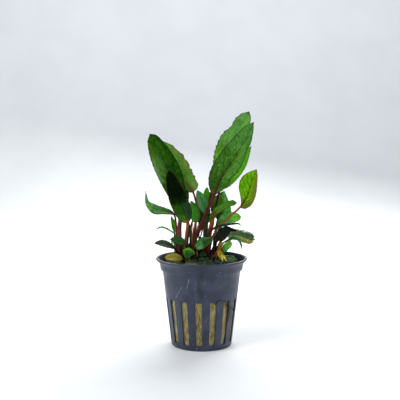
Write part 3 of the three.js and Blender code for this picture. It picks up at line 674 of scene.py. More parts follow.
def leaf_piece(name, leaf, materials, node=None):
    """A leaf's stalk and blade as one closed thin mesh."""
    x, y = leaf.root
    points = [*((x, y, z) for z in (ROOT_FOOT, ROOT_MIDDLE, ROOT_TOP)), *leaf.stalk, *leaf.blade]
    line = MiddleLine(points)
    root_at = 2 / (len(points) - 1)
    neck_at = (3 + len(leaf.stalk)) / (len(points) - 1)
    columns = max(9, round(sum(leaf.half) / COLUMN_WIDTH) // 2 * 2 + 1)
    stalk_rows = max(4, round(line.length(root_at, neck_at) / STALK_ROW_LENGTH))
    blade_length = line.length(neck_at, 1)
    blade_rows = max(12, round(blade_length / ROW_LENGTH))
    stops = [0.0, root_at / 2]
    stops += [root_at + (neck_at - root_at) * i / stalk_rows for i in range(stalk_rows)]
    stops += [neck_at + (1 - neck_at) * i / blade_rows for i in range(blade_rows + 1)]
    inner = range(columns - 2, 0, -1)
    ring = 2 * columns - 2
    vertices = []
    attributes = {key: [] for key in (*LEAF_FACTS, "share", "along", "under")}
    for at in stops:
        above, below, facts, share = leaf_row(leaf, line, at, neck_at, columns, x * 3.1 + y * 1.7)
        vertices += above + [below[k] for k in inner]
        for key in LEAF_FACTS:
            attributes[key] += facts[key] + [facts[key][k] for k in inner]
        attributes["share"] += [share] * ring
        attributes["along"] += [share * blade_length / STRIPE_STEP] * ring
        attributes["under"] += [0.0] * (columns - 1) + [0.5] + [1.0] * (columns - 2)
    faces = ring_faces(len(stops), ring)
    slot = leaf.slot or next(slot for slot, looks in SLOTS.items() if leaf.look in looks)
    return new_piece(name, vertices, faces, materials[leaf.look], node, slot, attributes)


# Each leaf's name is its node's without the first word.
LEAVES = {
    "tall_left": Leaf((-11.5, 1.5), [(-12.5, 1.5, 60), (-12.5, 2.5, 69)],
        [(-11, 4, 77.5), (-14, 7, 88), (-18, 10, 98), (-23.5, 12.5, 108), (-30, 15, 120)], "dark",
        half=(7.8, 6.2), widest=(0.5, 0.6), base=(0.4, 0.5), tip=(0.5, 0.4),
        faces=((0.2, -1, 0.3), (-0.2, -1, 0.2)), fold=0.1, ruffle=0.5, thick=(3.4, 2.5)),
    "tall_right": Leaf((-5.6, -0.5), [(-3.5, -1, 60.5), (-0.5, -1.5, 67.5), (2.5, -2.5, 75.5)],
        [(7, -4, 86), (11.1, -6.5, 96), (17.3, -9.5, 106), (23.2, -13, 116), (28, -17, 126.5)],
        "brownrib", half=(7.9, 6.3), widest=(0.4, 0.3), base=(0.5, 0.9), tip=(0.6, 0.75),
        faces=((0.1, -1, 0.2), (-0.1, -1, 0.3)), ruffle=0.6, thick=(2.6, 2),
        dips=[(1, 0.68, 0.16, 0.06), (1, 0.3, 0.22, 0.08)]),
    "tall_back": Leaf((4.8, 3.2), [(5, 4, 60.5), (6.5, 5, 69.5), (8.5, 7, 80)],
        [(10, 8.5, 86), (12.5, 12, 99.5), (18, 17, 115.5), (28, 22, 133)], "mottled", half=(7.7, 6.6),
        widest=(0.55, 0.6), base=(1.3, 1), tip=(0.5, 0.5), faces=((-0.2, -1, 0.2), (0, -1, 0.3)),
        ruffle=0.6, thick=(1.8, 1.2), crimp=0.3, frill=60, dips=[(0, 0.79, 0.26, 0.06)]),
    "wavy_left": Leaf((-1.3, 5), [(1.5, 5.5, 61), (0.5, 7.5, 71.5), (-2.5, 9.5, 78)],
        [(-4.9, 12, 86.2), (-10.2, 15, 93.2), (-15.5, 19, 102.3), (-24, 23, 115.5)], "pale",
        half=(4.6, 6.9), widest=(0.4, 0.6), base=(0.4, 0.25), tip=(0.6, 0.6),
        faces=((0, -1, 0.3), (-0.2, -1, 0.3)), ruffle=0.8, waves=3, thick=(1.8, 1.2), crimp=0.42,
        frill=21),
    "front_left": Leaf((-9.2, -3.2), [(-9.2, -3.8, 58.8), (-8.6, -5, 64.7)],
        [(-8, -6.5, 70.5), (-10.2, -9, 78.9), (-13, -12.5, 88), (-17.7, -17, 101)], "shade",
        half=(6.1, 4.4), widest=(0.55, 0.3), base=(0.4, 0.7), tip=(0.55, 0.5),
        faces=((0.1, -1, 0.3), (-0.1, -1, 0.35)), fold=0.1, ruffle=0.4, thick=(1.8, 1.4)),
    "side_left": Leaf((-14.3, -2.5), [(-14, -3, 61.5), (-14.5, -3, 70)], [(-15.5, -4, 75),
        (-21.5, -7.5, 77.7), (-26.6, -11, 79.4), (-29.5, -13.5, 82.5), (-30.5, -15, 89.2)], "side",
        half=(3.4, 2.4), widest=(0.5, 0.4), base=(0.6, 0.6), tip=(1.2, 1.2), faces=HANGING, ruffle=0.4),
    "side_right": Leaf((4.2, -0.3), [(6, -0.5, 61), (9.5, 0.5, 67), (15.5, 3, 72.5)],
        [(22, 5.5, 78), (26, 7.5, 84), (28.7, 9, 92), (31.7, 10, 99.6)], "bright", half=(6.6, 4.8),
        widest=(0.62, 0.25), base=(1.4, 0.35), tip=(0.9, 0.7), faces=((-0.1, -1, 0.3), (0.1, -1, 0.2)),
        ruffle=0.5, thick=(1.7, 1.2)),
    "strip_right": Leaf((1, 8.2), [(1.5, 8.5, 61.5), (3.5, 8.5, 74.5), (5, 7.5, 83.5)],
        [(7, 6, 88), (13.5, 5, 94), (22, 5.5, 102.5), (28.5, 8, 113)], "strip", half=(3, 4.6),
        widest=(0.5, 0.35), base=(0.5, 1), tip=(0.5, 0.9), faces=((0.2, -1, 0.2), (0.2, -1, 0.2)),
        ruffle=0.3),
    "inner_left": Leaf((-4.6, 3), [(-4.3, 2.5, 61.5), (-3.8, 1.5, 66)],
        [(-3.3, 1, 69.8), (-3.8, 0, 76), (-6, -1, 82.5)], "inner", half=(3, 2.9), widest=(0.4, 0.4),
        base=(0.4, 0.4), thick=(1.9, 1.3)),
    "inner_blue": Leaf((0.6, 0.8), [(1.9, 2, 61.5), (2.8, 2.5, 69)],
        [(2.5, 2.5, 74.6), (0.7, 2.5, 81), (-2.5, 2, 88.2)], "blue", half=(3.5, 3.2), thick=(1.8, 1.3)),
    "inner_bright": Leaf((1.8, 4.6), [(3, 5, 61.5), (3.2, 5.5, 73.5)],
        [(2.7, 6, 81.5), (2.9, 6.5, 85.5), (3.1, 7, 89.5)], "young", half=(1.9, 1.9), base=(0.4, 0.4)),
    "inner_olive": Leaf((4.2, 7), [(4.8, 7.8, 60.5), (5.9, 8.3, 67.5)],
        [(6.8, 9, 73.8), (8.4, 10.5, 78.9), (10.5, 12.5, 85.7)], "olive", half=(2.8, 3.6),
        thick=(1.9, 1.2)),
    "inner_tall": Leaf((7.4, 5.2), [(7.8, 7, 60), (10, 9, 64)],
        [(13.1, 12, 69.3), (13.9, 14, 73.8), (13.8, 16.5, 79.2), (13.4, 19.5, 86.6)], "tall",
        half=(2.6, 3.6), widest=(0.6, 0.3), base=(0.9, 0.35), tip=(0.6, 0.9), ruffle=0.3,
        thick=(1.7, 1.2)),
    "folded_right": Leaf((1.6, -3.2), [(3.9, -3.7, 61.7), (4.9, -4.2, 66.3)], [(5.8, -5, 70.1),
        (6.5, -5.5, 73.5), (8.3, -6, 76.7), (11.6, -7, 79.2), (15.8, -8, 81.2), (19.5, -9, 82.2)],
        "folded", half=(2.3, 1.6), widest=(0.15, 0.45), base=(0.2, 0.6), tip=(0.12, 0.08),
        faces=((-0.4, -0.9, 0.3), (-0.2, -0.9, 0.45)), fold=0.2, thick=(2.7, 2.6)),
    "lobe_right": Leaf((7.6, 1.8), [(8.5, 3, 59.5)],
        [(8.9, 5, 66.7), (11.8, 7, 70), (15, 9, 71.7), (18.9, 11, 71.8), (23.2, 13, 71.6)], "lobe",
        half=(3.1, 3.6), widest=(0.45, 0.5), base=(0.8, 0.5), tip=(0.45, 0.45), ruffle=0.3, crimp=0.35),
    "edge_right": Leaf((-2, -2.8), [(2.2, -5.4, 61.6)], [(5.5, -6.9, 66.4), (8.6, -7.1, 68.4),
        (11.9, -7.2, 69.2), (16.4, -7.4, 69.9), (20.8, -8.2, 70.2), (21.9, -8.6, 69.1)], "shaded",
        half=(1, 1), widest=(0.3, 0.3), base=(0.8, 0.8), tip=(0.9, 0.9), faces=TILTED, fold=0.2),
    "dark_round": Leaf((4.6, -6), [(6.7, -6.5, 57.3)],
        [(9.2, -7.2, 60.7), (11.5, -8, 64), (15.9, -9, 68.6)], "black", half=(3.2, 3), widest=(0.5, 0.5),
        base=(0.4, 0.4), tip=(0.4, 0.4), thick=(1.2, 0.9)),
    "dark_point": Leaf((7.3, -3), [(10.1, -3.6, 58.8)],
        [(13.4, -4.3, 64), (15.9, -5, 66.5), (19.6, -6, 66.1)], "black", half=(1.2, 1.2),
        base=(0.7, 0.7)),
    "old_algae": Leaf((10, -0.5), [(10.7, -0.7, 58.3)], [(13.3, -0.5, 62.2), (16.5, 0.5, 63.2),
        (20.2, 2, 62.8), (24, 3.5, 61.2), (27.2, 3.5, 60), (29.9, 3, 59.4)], "algae", half=(2.8, 3.3),
        widest=(0.72, 0.72), base=(0.35, 0.35), tip=(0.25, 0.25),
        faces=((-0.1, -0.9, 0.5), (0.3, -0.9, 0.4)), ruffle=0.5, waves=3, crimp=0.3),
    "drooping": Leaf((9.6, -5), [(12, -5.4, 58.8)],
        [(14.6, -6, 60.7), (17.3, -6.5, 61.8), (20.2, -7, 61.4), (21.8, -8, 58.9), (22.1, -9, 55.1)],
        "droop", half=(1.1, 1), widest=(0.4, 0.4), faces=HANGING, thick=(1.2, 0.9)),
    "young_right": Leaf((12, -7.6), [], [(11.8, -8, 53.6), (13.5, -9.2, 57.1), (16.6, -10, 60.5)], "lobe",
        half=(2.1, 2), widest=(0.72, 0.7), base=(0.7, 0.55), tip=(0.35, 0.35)),
    "arching_left": Leaf((-14.5, -5.6), [(-14.5, -6, 60.5)],
        [(-15, -7, 64.2), (-19.3, -10, 67.7), (-22.5, -12, 68.8), (-25.3, -14, 67.8)], "arch",
        half=(1, 1), faces=((0.2, -0.5, 0.9), (0, -0.5, 0.9)), thick=(1.2, 0.9)),
    "sliver_left": Leaf((-15, 3), [(-15.5, 3, 58.5)], [(-15.5, 3.5, 64), (-16, 4, 68), (-17.5, 5, 73)],
        "young", half=(1.3, 1.6)),
    "low_grey": Leaf((-11.5, -6.5), [], [(-15.2, -8.5, 56.5), (-20.1, -14, 59.7), (-25.6, -19, 61)],
        "grey", half=(2.5, 2.6), widest=(0.5, 0.5), faces=LEANING),
    "low_dark": Leaf((-8.2, -7), [], [(-9, -8, 58.5), (-13, -10, 61), (-17.5, -12, 62)], "low",
        half=(2.7, 2.7), faces=LEANING),
    "low_bright": Leaf((-10.8, -10.2), [], [(-9.8, -11, 53.2), (-7, -12.5, 54.3), (-3.6, -14, 54.6)],
        "lower", half=(3.5, 3.2), widest=(0.35, 0.35), base=(0.3, 0.3), tip=(0.9, 0.9),
        faces=((0, -0.9, 0.5), (0, -0.7, 0.7))),
    "low_centre": Leaf((-5.6, -5.2), [], [(-3.4, -6.3, 56.3), (1, -8.5, 59.4), (6.4, -10, 62.2)],
        "centre", half=(3.7, 3.4), widest=(0.4, 0.4), faces=LEANING),
    "low_small": Leaf((-2.5, -8.2), [], [(-1.5, -10, 52.5), (1, -11.5, 53.5), (3, -13, 53.5)], "hidden",
        half=(1.4, 1.4)),
    "withered_right": Leaf((6.8, -9.2), [], [(9.1, -11, 55.7), (10.6, -13, 53.3), (12.7, -16, 51)],
        "withered", half=(1.7, 1.6), widest=(0.45, 0.45), base=(0.5, 0.5), tip=(0.3, 0.3)),
    "withered_stalk": Leaf((9, -7.8), [], [(9.5, -8.9, 54.5), (10.2, -9.6, 57.5), (11.3, -10.2, 60.7)],
        "husk", half=(1.2, 1.2), widest=(0.5, 0.5), base=(0.3, 0.3), tip=(0.25, 0.25)),
    "yellow_left": Leaf((-9.6, -13.6), [], [(-10.6, -15.5, 51.7), (-14.8, -16, 52.8), (-20.3, -16, 52.6)],
        "yellow", half=(2.9, 2.7), base=(0.7, 0.7), tip=(0.4, 0.4), faces=TILTED),
    "rear_1": Leaf((-7.8, 3.5), [(-8, 4.5, 59.5), (-7.5, 6.5, 68.5)],
        [(-9.5, 10, 77.5), (-11.5, 15, 88), (-15, 22, 99)], "low", half=(4, 3.6),
        faces=((0, -1, 0.5), (0, -1, 0.9)), slot="leaf_mid"),
    "rear_2": Leaf((-5, 6.8), [(-5.5, 8, 59), (-6, 11, 66.5)],
        [(-3.5, 14, 73), (-0.5, 18, 78), (2, 23, 81.5)], "brownrib", faces=((0, -1, 0.7), (0, -1, 1))),
    "rear_3": Leaf((7, 8.6), [(7.5, 12, 61)], [(9.5, 15, 70), (11, 19, 78), (12.5, 25, 85.5)], "low",
        half=(4, 4), faces=((0, -1, 0.6), (0, -1, 1))),
    "rear_4": Leaf((-2.2, 9.2), [(-0.5, 12, 54)], [(1, 15, 56), (2, 19, 57), (4, 25, 55.5)], "inner",
        faces=LYING),
    "rear_5": Leaf((-12, 5.8), [(-12.5, 9, 54)], [(-13.5, 13, 55.5), (-15.5, 18, 56), (-17, 24, 54)],
        "pale", faces=LYING),
    "rear_6": Leaf((10.8, 3.2), [(13, 6, 55.5)], [(16.5, 9, 58.5), (20, 14, 60), (24.5, 20, 58)], "inner",
        half=(3.4, 3.4), faces=LYING),
}
# Small old blades between the stalks. They stand for no node.
SMALL_BLADES = {
    "blade_olive": Leaf((1.2, 6.4), [(1.4, 6.8, 64)],
        [(1.4, 6.8, 69.4), (1.9, 7.2, 74), (2.7, 8, 78.3), (4.1, 9, 82.5), (5.8, 10, 86.8)], "olive",
        half=(3.3, 2.6), tip=(0.6, 0.6)),
    "blade_brown": Leaf((-1.6, 3.4), [(-1.5, 3.5, 62)],
        [(-1.2, 3.6, 68.7), (-0.7, 3.8, 72.4), (-0.1, 4, 75), (0.8, 4.4, 77.8)], "husky", half=(1.3, 1.2),
        tip=(0.4, 0.4), thick=(0.9, 0.7)),
    "blade_dark": Leaf((3.2, 3), [(3.3, 3, 62)],
        [(3.4, 3, 68.7), (3.7, 3, 71.6), (4.1, 3, 74.8), (4.6, 3, 78.8)], "hidden", half=(1.2, 1.1),
        thick=(0.9, 0.7), slot="leaf_old"),
    "blade_low": Leaf((-5.2, 5.2), [],
        [(-5.5, 5.4, 57), (-6.1, 5.6, 61.2), (-6.5, 6, 65.5), (-7, 6.4, 68.3)], "young", half=(1.1, 1),
        thick=(0.9, 0.7), slot="leaf_old"),
}

# Pot

def body_radius(z):
    return BODY_BASE_RADIUS + (BODY_TOP_RADIUS - BODY_BASE_RADIUS) * z / BODY_HEIGHT


# Long thin scratches on the pot's front: the x and z of each one's upper and lower end.
SCRATCHES = [((-10.6, 37.4), (-14.4, 29.6)), ((-6.8, 41.5), (-8.2, 36)), ((-3.1, 40.5), (-3.6, 35))]


def scratched(g, base, x, front, z):
    """The pot's colour with the scratches drawn on its front."""
    fine = g.step(g.noise(0.8, detail=2), 0.3, 0.6)
    for (top_x, top_z), (low_x, low_z) in SCRATCHES:
        slope = (top_x - low_x) / (top_z - low_z)
        line = g.sloped(z, -slope, g.math("SUBTRACT", x, top_x - slope * top_z))
        thin = g.step(g.math("ABSOLUTE", line), 0.28, 0.08)
        reach = g.times(g.window(z, (low_z, top_z), 1), front)
        base = g.lay(base, (168, 174, 182), thin, reach, fine, 0.5)
    return base


def pot_material():
    g = Graph("pot_plastic")
    x, y, z = (g.axis(name) for name in "XYZ")
    front = g.step(y, 0, -5)
    grain = g.noise(0.35, detail=2)
    clouds = g.noise(9)
    base = g.mix(g.step(clouds, 0.35, 0.7), (46, 53, 71), (60, 67, 86))
    slanting = g.node("CombineXYZ", [g.sloped(z, -0.45, x), y, g.times(z, 0.1)])
    marks = g.node("TexNoise", {"Vector": slanting, "Scale": 1.0, "Detail": 1.0})
    scratches = g.times(g.step(marks, 0.71, 0.75), g.step(clouds, 0.5, 0.6))
    base = g.lay(base, (150, 156, 164), scratches, 0.35)
    specks = g.step(g.noise(0.6, detail=0), 0.82, 0.85)
    base = g.lay(base, (196, 202, 206), specks, g.step(clouds, 0.56, 0.46), 0.7)
    base = scratched(g, base, x, front, z)
    # Painted reflection: a dark band down the middle of the front, between the pot's lighter sides.
    dark_reflection = g.times(g.window(x, (-2, 1.4), 0.9), g.window(z, (30, 46), 3))
    base = g.lay(base, (24, 27, 36), dark_reflection, g.step(g.noise(2.5, tall=0.3), 0.35, 0.6), front, 0.6)
    base = g.lay(base, (30, 34, 44), g.step(g.noise(5, detail=4, tall=0.5), 0.5, 0.68), 0.35)
    # Painted shade: the inside of the wall is near-black, where light does not reach into the pot.
    radius = g.node("VectorMath", [g.place(1, 1, 0)], output="Value", operation="LENGTH")
    wall_middle = g.sloped(z, 0.55, COLLAR_RADIUS - WALL / 2 - 0.55 * COLLAR_HEIGHT)
    inner = g.step(g.math("SUBTRACT", radius, wall_middle), -0.15, -0.4)
    base = g.mix(inner, base, g.mix(g.step(g.noise(2), 0.5, 0.7), (2, 10, 22), (12, 22, 32)))
    wet = g.times(g.step(g.noise(5, detail=2), 0.5, 0.62), 0.1)
    rough = g.sloped(inner, 0.4, g.math("SUBTRACT", g.between(grain, 0.3, 0.7, 0.4, 0.52), wet))
    height = g.sloped(grain, 0.5, g.times(scratches, -0.3))
    return g.finish(g.surface(base, rough, g.bump(height, 0.05, 0.4), ior=1.49, gloss=0.35))


def pot_profile():
    """Rings from the underside's edge, up the outside, over the lip and down the inside to the floor."""
    def body(heights, inset=0):
        return [(body_radius(z) - inset, z) for z in heights]

    outside = [
        (BODY_BASE_RADIUS - 0.6, 0), (BODY_BASE_RADIUS - 0.25, 0.1),
        *body((0.6, SLOT_BOTTOM, 9, 15, 21, SLOT_TOP, 33, 39)), (BODY_TOP_RADIUS - 0.05, BODY_HEIGHT - 0.5),
        (BODY_TOP_RADIUS + 0.2, BODY_HEIGHT), (COLLAR_RADIUS - COLLAR_TAPER - 0.35, BODY_HEIGHT + 0.35),
        (COLLAR_RADIUS - COLLAR_TAPER, BODY_HEIGHT + COLLAR_STEP + 0.2), (COLLAR_RADIUS - 0.15, 45.5),
        (COLLAR_RADIUS, COLLAR_HEIGHT - 0.3), (COLLAR_RADIUS + 0.3, COLLAR_HEIGHT + 0.3),
        (RIM_RADIUS - 0.9, POT_HEIGHT - 1.5), (RIM_RADIUS - 0.25, POT_HEIGHT - 1.05),
        (RIM_RADIUS, POT_HEIGHT - 0.6), (RIM_RADIUS - 0.08, POT_HEIGHT - 0.2),
        (RIM_RADIUS - 0.35, POT_HEIGHT),
    ]
    inside = [
        (RIM_RADIUS - 1.5, POT_HEIGHT), (RIM_RADIUS - 1.85, POT_HEIGHT - 0.25),
        (COLLAR_RADIUS - WALL + 0.15, COLLAR_HEIGHT + 1), (COLLAR_RADIUS - WALL - 0.1, COLLAR_HEIGHT),
        (COLLAR_RADIUS - COLLAR_TAPER - WALL, BODY_HEIGHT + 1.4), (BODY_TOP_RADIUS - WALL, BODY_HEIGHT),
        *body((33, SLOT_TOP, 21, 15, 9, SLOT_BOTTOM, FLOOR), WALL),
    ]
    return outside + inside


def pot_angles():
    """The columns of the pot's wall: SLOT_COLUMNS in each slot and BAR_COLUMNS in each bar beside it."""
    slot = SLOT_PITCH * SLOT_SHARE
    angles = []
    for i in range(SLOT_COUNT):
        start = FIRST_SLOT + i * SLOT_PITCH - slot / 2
        angles += [start + slot * k / SLOT_COLUMNS for k in range(SLOT_COLUMNS)]
        angles += [start + slot + (SLOT_PITCH - slot) * k / BAR_COLUMNS for k in range(BAR_COLUMNS)]
    return angles


def pot_mesh():
    """The pot as one closed mesh. Faces are left out where a slot goes, and its cut sides are added."""
    rings = pot_profile()
    angles = pot_angles()
    count = len(angles)
    vertices = [around(r, a, z) for r, z in rings for a in angles]
    out_low, in_low = (i for i, ring in enumerate(rings) if ring[1] == SLOT_BOTTOM)
    out_high, in_high = (i for i, ring in enumerate(rings) if ring[1] == SLOT_TOP)
    per_slot = SLOT_COLUMNS + BAR_COLUMNS
    faces = []
    for row in range(len(rings) - 1):
        in_slot_rows = out_low <= row < out_high or in_high <= row < in_low
        for k in range(count):
            if in_slot_rows and k % per_slot < SLOT_COLUMNS:
                continue
            after = (k + 1) % count
            a, b = row * count, (row + 1) * count
            faces.append((a + k, a + after, b + after, b + k))
    low_o, low_i, high_o, high_i = (row * count for row in (out_low, in_low, out_high, in_high))
    for left in range(0, count, per_slot):
        right = left + SLOT_COLUMNS
        for i in range(out_high - out_low):
            o, p = low_o + i * count, low_o + (i + 1) * count
            q, r = low_i - i * count, low_i - (i + 1) * count
            faces.append((o + left, p + left, r + left, q + left))
            faces.append((o + right, q + right, r + right, p + right))
        for k in range(left, right):
            faces.append((low_o + k, low_i + k, low_i + k + 1, low_o + k + 1))
            faces.append((high_o + k, high_o + k + 1, high_i + k + 1, high_i + k))
    # The two faces of the floor, joined to the wall's first ring below and to its last above.
    for z, before, flip in ((0, 0, -1), (FLOOR, (len(rings) - 1) * count, 1)):
        for radius in (DRAIN_OUTER, (DRAIN_INNER + DRAIN_OUTER) / 2, DRAIN_INNER, 4, 0.5):
            start = len(vertices)
            vertices += [around(radius, a, z) for a in angles]
            for k in range(count):
                after = (k + 1) % count
                faces.append((before + k, before + after, start + after, start + k)[::flip])
            before = start
        faces.append(tuple(range(before, before + count))[::flip])
    return vertices, faces


def drain_cutters():
    """One joined mesh of boxes, one for each slot in the floor."""
    bm = bmesh.new()
    size = Matrix.Diagonal((DRAIN_OUTER - DRAIN_INNER, DRAIN_WIDTH, 4 * FLOOR, 1))
    move = Matrix.Translation(((DRAIN_INNER + DRAIN_OUTER) / 2, 0, 0))
    for i in range(DRAIN_COUNT):
        turn = Matrix.Rotation((i + 0.5) * 2 * math.pi / DRAIN_COUNT, 4, "Z")
        bmesh.ops.create_cube(bm, size=1, matrix=Matrix.Scale(MM, 4) @ turn @ move @ size)
    mesh = bpy.data.meshes.new("drain_cutters")
    bm.to_mesh(mesh)
    bm.free()
    return link("drain_cutters", mesh)


def make_pot():
    vertices, faces = pot_mesh()
    pot = new_piece("net_pot", vertices, faces, pot_material(), "pot", "pot_plastic")
    cutters = drain_cutters()
    cut = pot.modifiers.new("drains", "BOOLEAN")
    cut.object = cutters
    cut.solver = "EXACT"
    edge = pot.modifiers.new("edges", "BEVEL")
    edge.width = EDGE_ROUNDING * MM
    edge.segments = 2
    edge.limit_method = "ANGLE"
    edge.angle_limit = math.radians(50)
    edge.harden_normals = True
    evaluated = pot.evaluated_get(bpy.context.evaluated_depsgraph_get())
    finished = bpy.data.meshes.new_from_object(evaluated)
    pot.modifiers.clear()
    pot.data = finished
    bpy.data.objects.remove(cutters)


# Rock wool

def wool_material():
    g = Graph("rock_wool")
    streaks = g.noise(1.1, detail=5, tall=0.18, distortion=0.8)
    fine = g.noise(0.25)
    colour = g.mix(g.step(streaks, 0.36, 0.62), (120, 108, 64), (210, 200, 152))
    colour = g.lay(colour, (180, 152, 58), g.step(g.noise(3.5, detail=4), 0.45, 0.62), 0.75)
    colour = g.lay(colour, (214, 208, 176), g.step(fine, 0.55, 0.75), 0.35)
    colour = g.lay(colour, (88, 92, 40), g.step(g.noise(4, detail=2, tall=0.4), 0.56, 0.66), 0.6)
    return g.finish(g.surface(colour, 0.9, g.bump(g.math("ADD", streaks, fine), 0.4, 0.8)))


def make_wool():
    """The plug, with an uneven matted surface."""
    inset = WALL + GAP
    low = FLOOR + GAP
    steps = 44
    shoulder = body_radius(WOOL_SHOULDER) - inset
    rings = [(0.5, low), (8, low), (body_radius(1.5) - inset - 0.4, low)]
    for i in range(steps):
        z = FLOOR + GAP + 0.4 + (WOOL_TOP - 2 - FLOOR - GAP) * i / (steps - 1)
        rings.append((min(body_radius(z), body_radius(WOOL_SHOULDER)) - inset, z))
    rings += [(shoulder - 1.5, WOOL_TOP), (8, WOOL_TOP), (0.5, WOOL_TOP)]
    vertices = []
    for r, z in rings:
        for angle in full_turn(WOOL_COLUMNS):
            rough = noise.fractal(Vector(around(r, angle, z)) * 0.7, 1, 2, 4) * 0.35
            vertices.append(around(r + (rough - 0.2 if r > 10 else 0), angle, z))
    faces = ring_faces(len(rings), WOOL_COLUMNS)
    new_piece("wool_plug", vertices, faces, wool_material(), "rock_wool", "rock_wool")


def make_wool_fibres(rng):
    """Loose threads on the plug's surface, where the slots show it."""
    paths = []
    for i in range(SLOT_COUNT):
        middle = FIRST_SLOT + i * SLOT_PITCH
        for _ in range(FIBRES_PER_SLOT):
            angle = middle + rng.uniform(-0.5, 0.5) * SLOT_PITCH * SLOT_SHARE
            z = rng.uniform(SLOT_BOTTOM, SLOT_TOP - 1)
            lean = rng.gauss(0, 0.5)
            length = rng.uniform(1.5, 5)
            path = []
            for t in (k / 5 for k in range(6)):
                height = min(SLOT_TOP - 0.5, max(SLOT_BOTTOM + 0.5, z + length * t * math.cos(lean)))
                swell = 0.12 + 0.2 * math.sin(math.pi * t) * rng.uniform(0.3, 1.2)
                out = body_radius(height) - WALL - GAP + swell
                turn = angle + length * t * math.sin(lean) / out + 0.01 * math.sin(7 * t + lean)
                turn = middle + max(-FIBRE_TURN, min(FIBRE_TURN, turn - FIRST_SLOT - i * SLOT_PITCH))
                path.append((around(out, turn, height), 0.05))
            paths.append(path)
    tube_piece("wool_fibres", paths, 3, (166, 148, 80), (224, 214, 172), "rock_wool", "wool_fibre")


# Moss

def moss_height(radius, angle):
    """The top of the moss: a low dome with clumps."""
    share = radius / MOSS_RADIUS
    dome = MOSS_MIDDLE_TOP + (MOSS_EDGE_TOP - MOSS_MIDDLE_TOP) * share ** 2
    clumps = math.sin(3 * angle + 1) * math.cos(radius * 0.7) + 0.5 * math.sin(7 * angle + radius)
    return dome + 0.6 * clumps * min(1, radius / 4)


def moss_material():
    g = Graph("moss")
    clumps = g.noise(2.2, detail=5)
    fine = g.noise(0.4, detail=4)
    colour = g.mix(g.step(clumps, 0.4, 0.62), (12, 22, 17), (42, 66, 50))
    colour = g.lay(colour, (92, 122, 88), g.step(fine, 0.5, 0.7), 0.6)
    colour = g.lay(colour, (22, 18, 12), g.step(g.noise(3.5, detail=2), 0.56, 0.66), 0.7)
    # Painted light: the olive front left is the moss's own colour, made lighter where the rim shades it.
    front = g.step(g.axis("Y"), FRONT_MOSS + 1, FRONT_MOSS - 3)
    colour = g.lay(colour, (128, 140, 96), front, g.step(g.axis("X"), -1, -6), 0.6)
    return g.finish(g.surface(colour, 0.7, g.bump(g.math("ADD", fine, clumps), 0.8)))


def make_moss():
    # The first three rings are the flat underside.
    shares = [0.02, 0.5, 1.0] + [1.0 - 0.035 * i for i in range(28)] + [0.01]
    vertices = []
    for i, share in enumerate(shares):
        for angle in full_turn(MOSS_COLUMNS):
            radius = MOSS_RADIUS * share + (0.6 * math.sin(5 * angle) - 0.6) * share ** 8
            here = Vector(around(radius, angle, 0))
            radius += 0.35 * noise.noise(here * 0.8) * share
            height = MOSS_BOTTOM
            if i > 2:
                drop = 0.9 * (1 - min(1, (1 - share) / 0.07)) ** 2
                height = moss_height(radius, angle) - drop + 0.55 * noise.fractal(here * 0.55, 1, 2, 4)
                height = max(MOSS_BOTTOM + 0.3, height)
            vertices.append(around(radius, angle, height))
    faces = ring_faces(len(shares), MOSS_COLUMNS)
    new_piece("moss_layer", vertices, faces, moss_material(), "moss_cover", "moss")


def strand(base, lean, length, rise, rng, width=0.1):
    """One short curled thread from base, as a path for tubes."""
    path = []
    for t in (k / 4 for k in range(5)):
        curl = lean + 1.6 * t * rng.uniform(-1, 1)
        out = Vector(around(1, curl, 0)) * length * t * (1 - 0.5 * rise)
        lift = length * rise * (t - 0.55 * t * t)
        path.append((base + out + Vector((0, 0, lift)), width * (1 - 0.75 * t) + 0.01))
    return path


# The dark and the light colour of each kind of strand.
MOSS_COLOURS = {
    "dark": ((22, 42, 32), (66, 98, 78)),
    "bright": ((40, 84, 44), (120, 158, 96)),
    "brown": ((40, 30, 18), (88, 70, 40)),
    # olive is the front left moss's own colour, lightened with painted light where the rim shades it.
    "olive": ((112, 126, 84), (186, 194, 144)),
    "blue": ((22, 46, 40), (66, 94, 82)),
    "frond": ((38, 84, 40), (116, 162, 92)),
}
# The lines that the larger fronds at the right follow over the moss, seen from above.
FRONDS = [
    [(13.5, 13), (16, 10.2), (17.8, 5), (18.4, -1), (17.6, -6.8)],
    [(12.5, 2), (14.8, -1.5), (16, -5), (15.8, -9.5)],
    [(12.2, 13), (11, 5), (9.6, -2), (9, -8)],
    [(14, 6), (12.6, -4), (10.4, -13)],
]


def frond(points, rng):
    """A stem over the moss with small leaves in pairs, as paths for tubes."""
    line = MiddleLine([(x, y, moss_height(math.hypot(x, y), math.atan2(y, x)) + 0.7) for x, y in points])
    stem = line.path(22, lambda share: 0.2 - 0.1 * share)
    paths = [stem]
    for (place, _), (beyond, _) in zip(stem, stem[1:]):
        ahead = beyond - place
        heading = math.atan2(ahead.y, ahead.x)
        for side in (-1, 1):
            lean = heading + side * rng.uniform(0.6, 1.2)
            paths.append(strand(place, lean, rng.uniform(1, 1.9), rng.uniform(0.1, 0.6), rng, 0.2))
    return paths


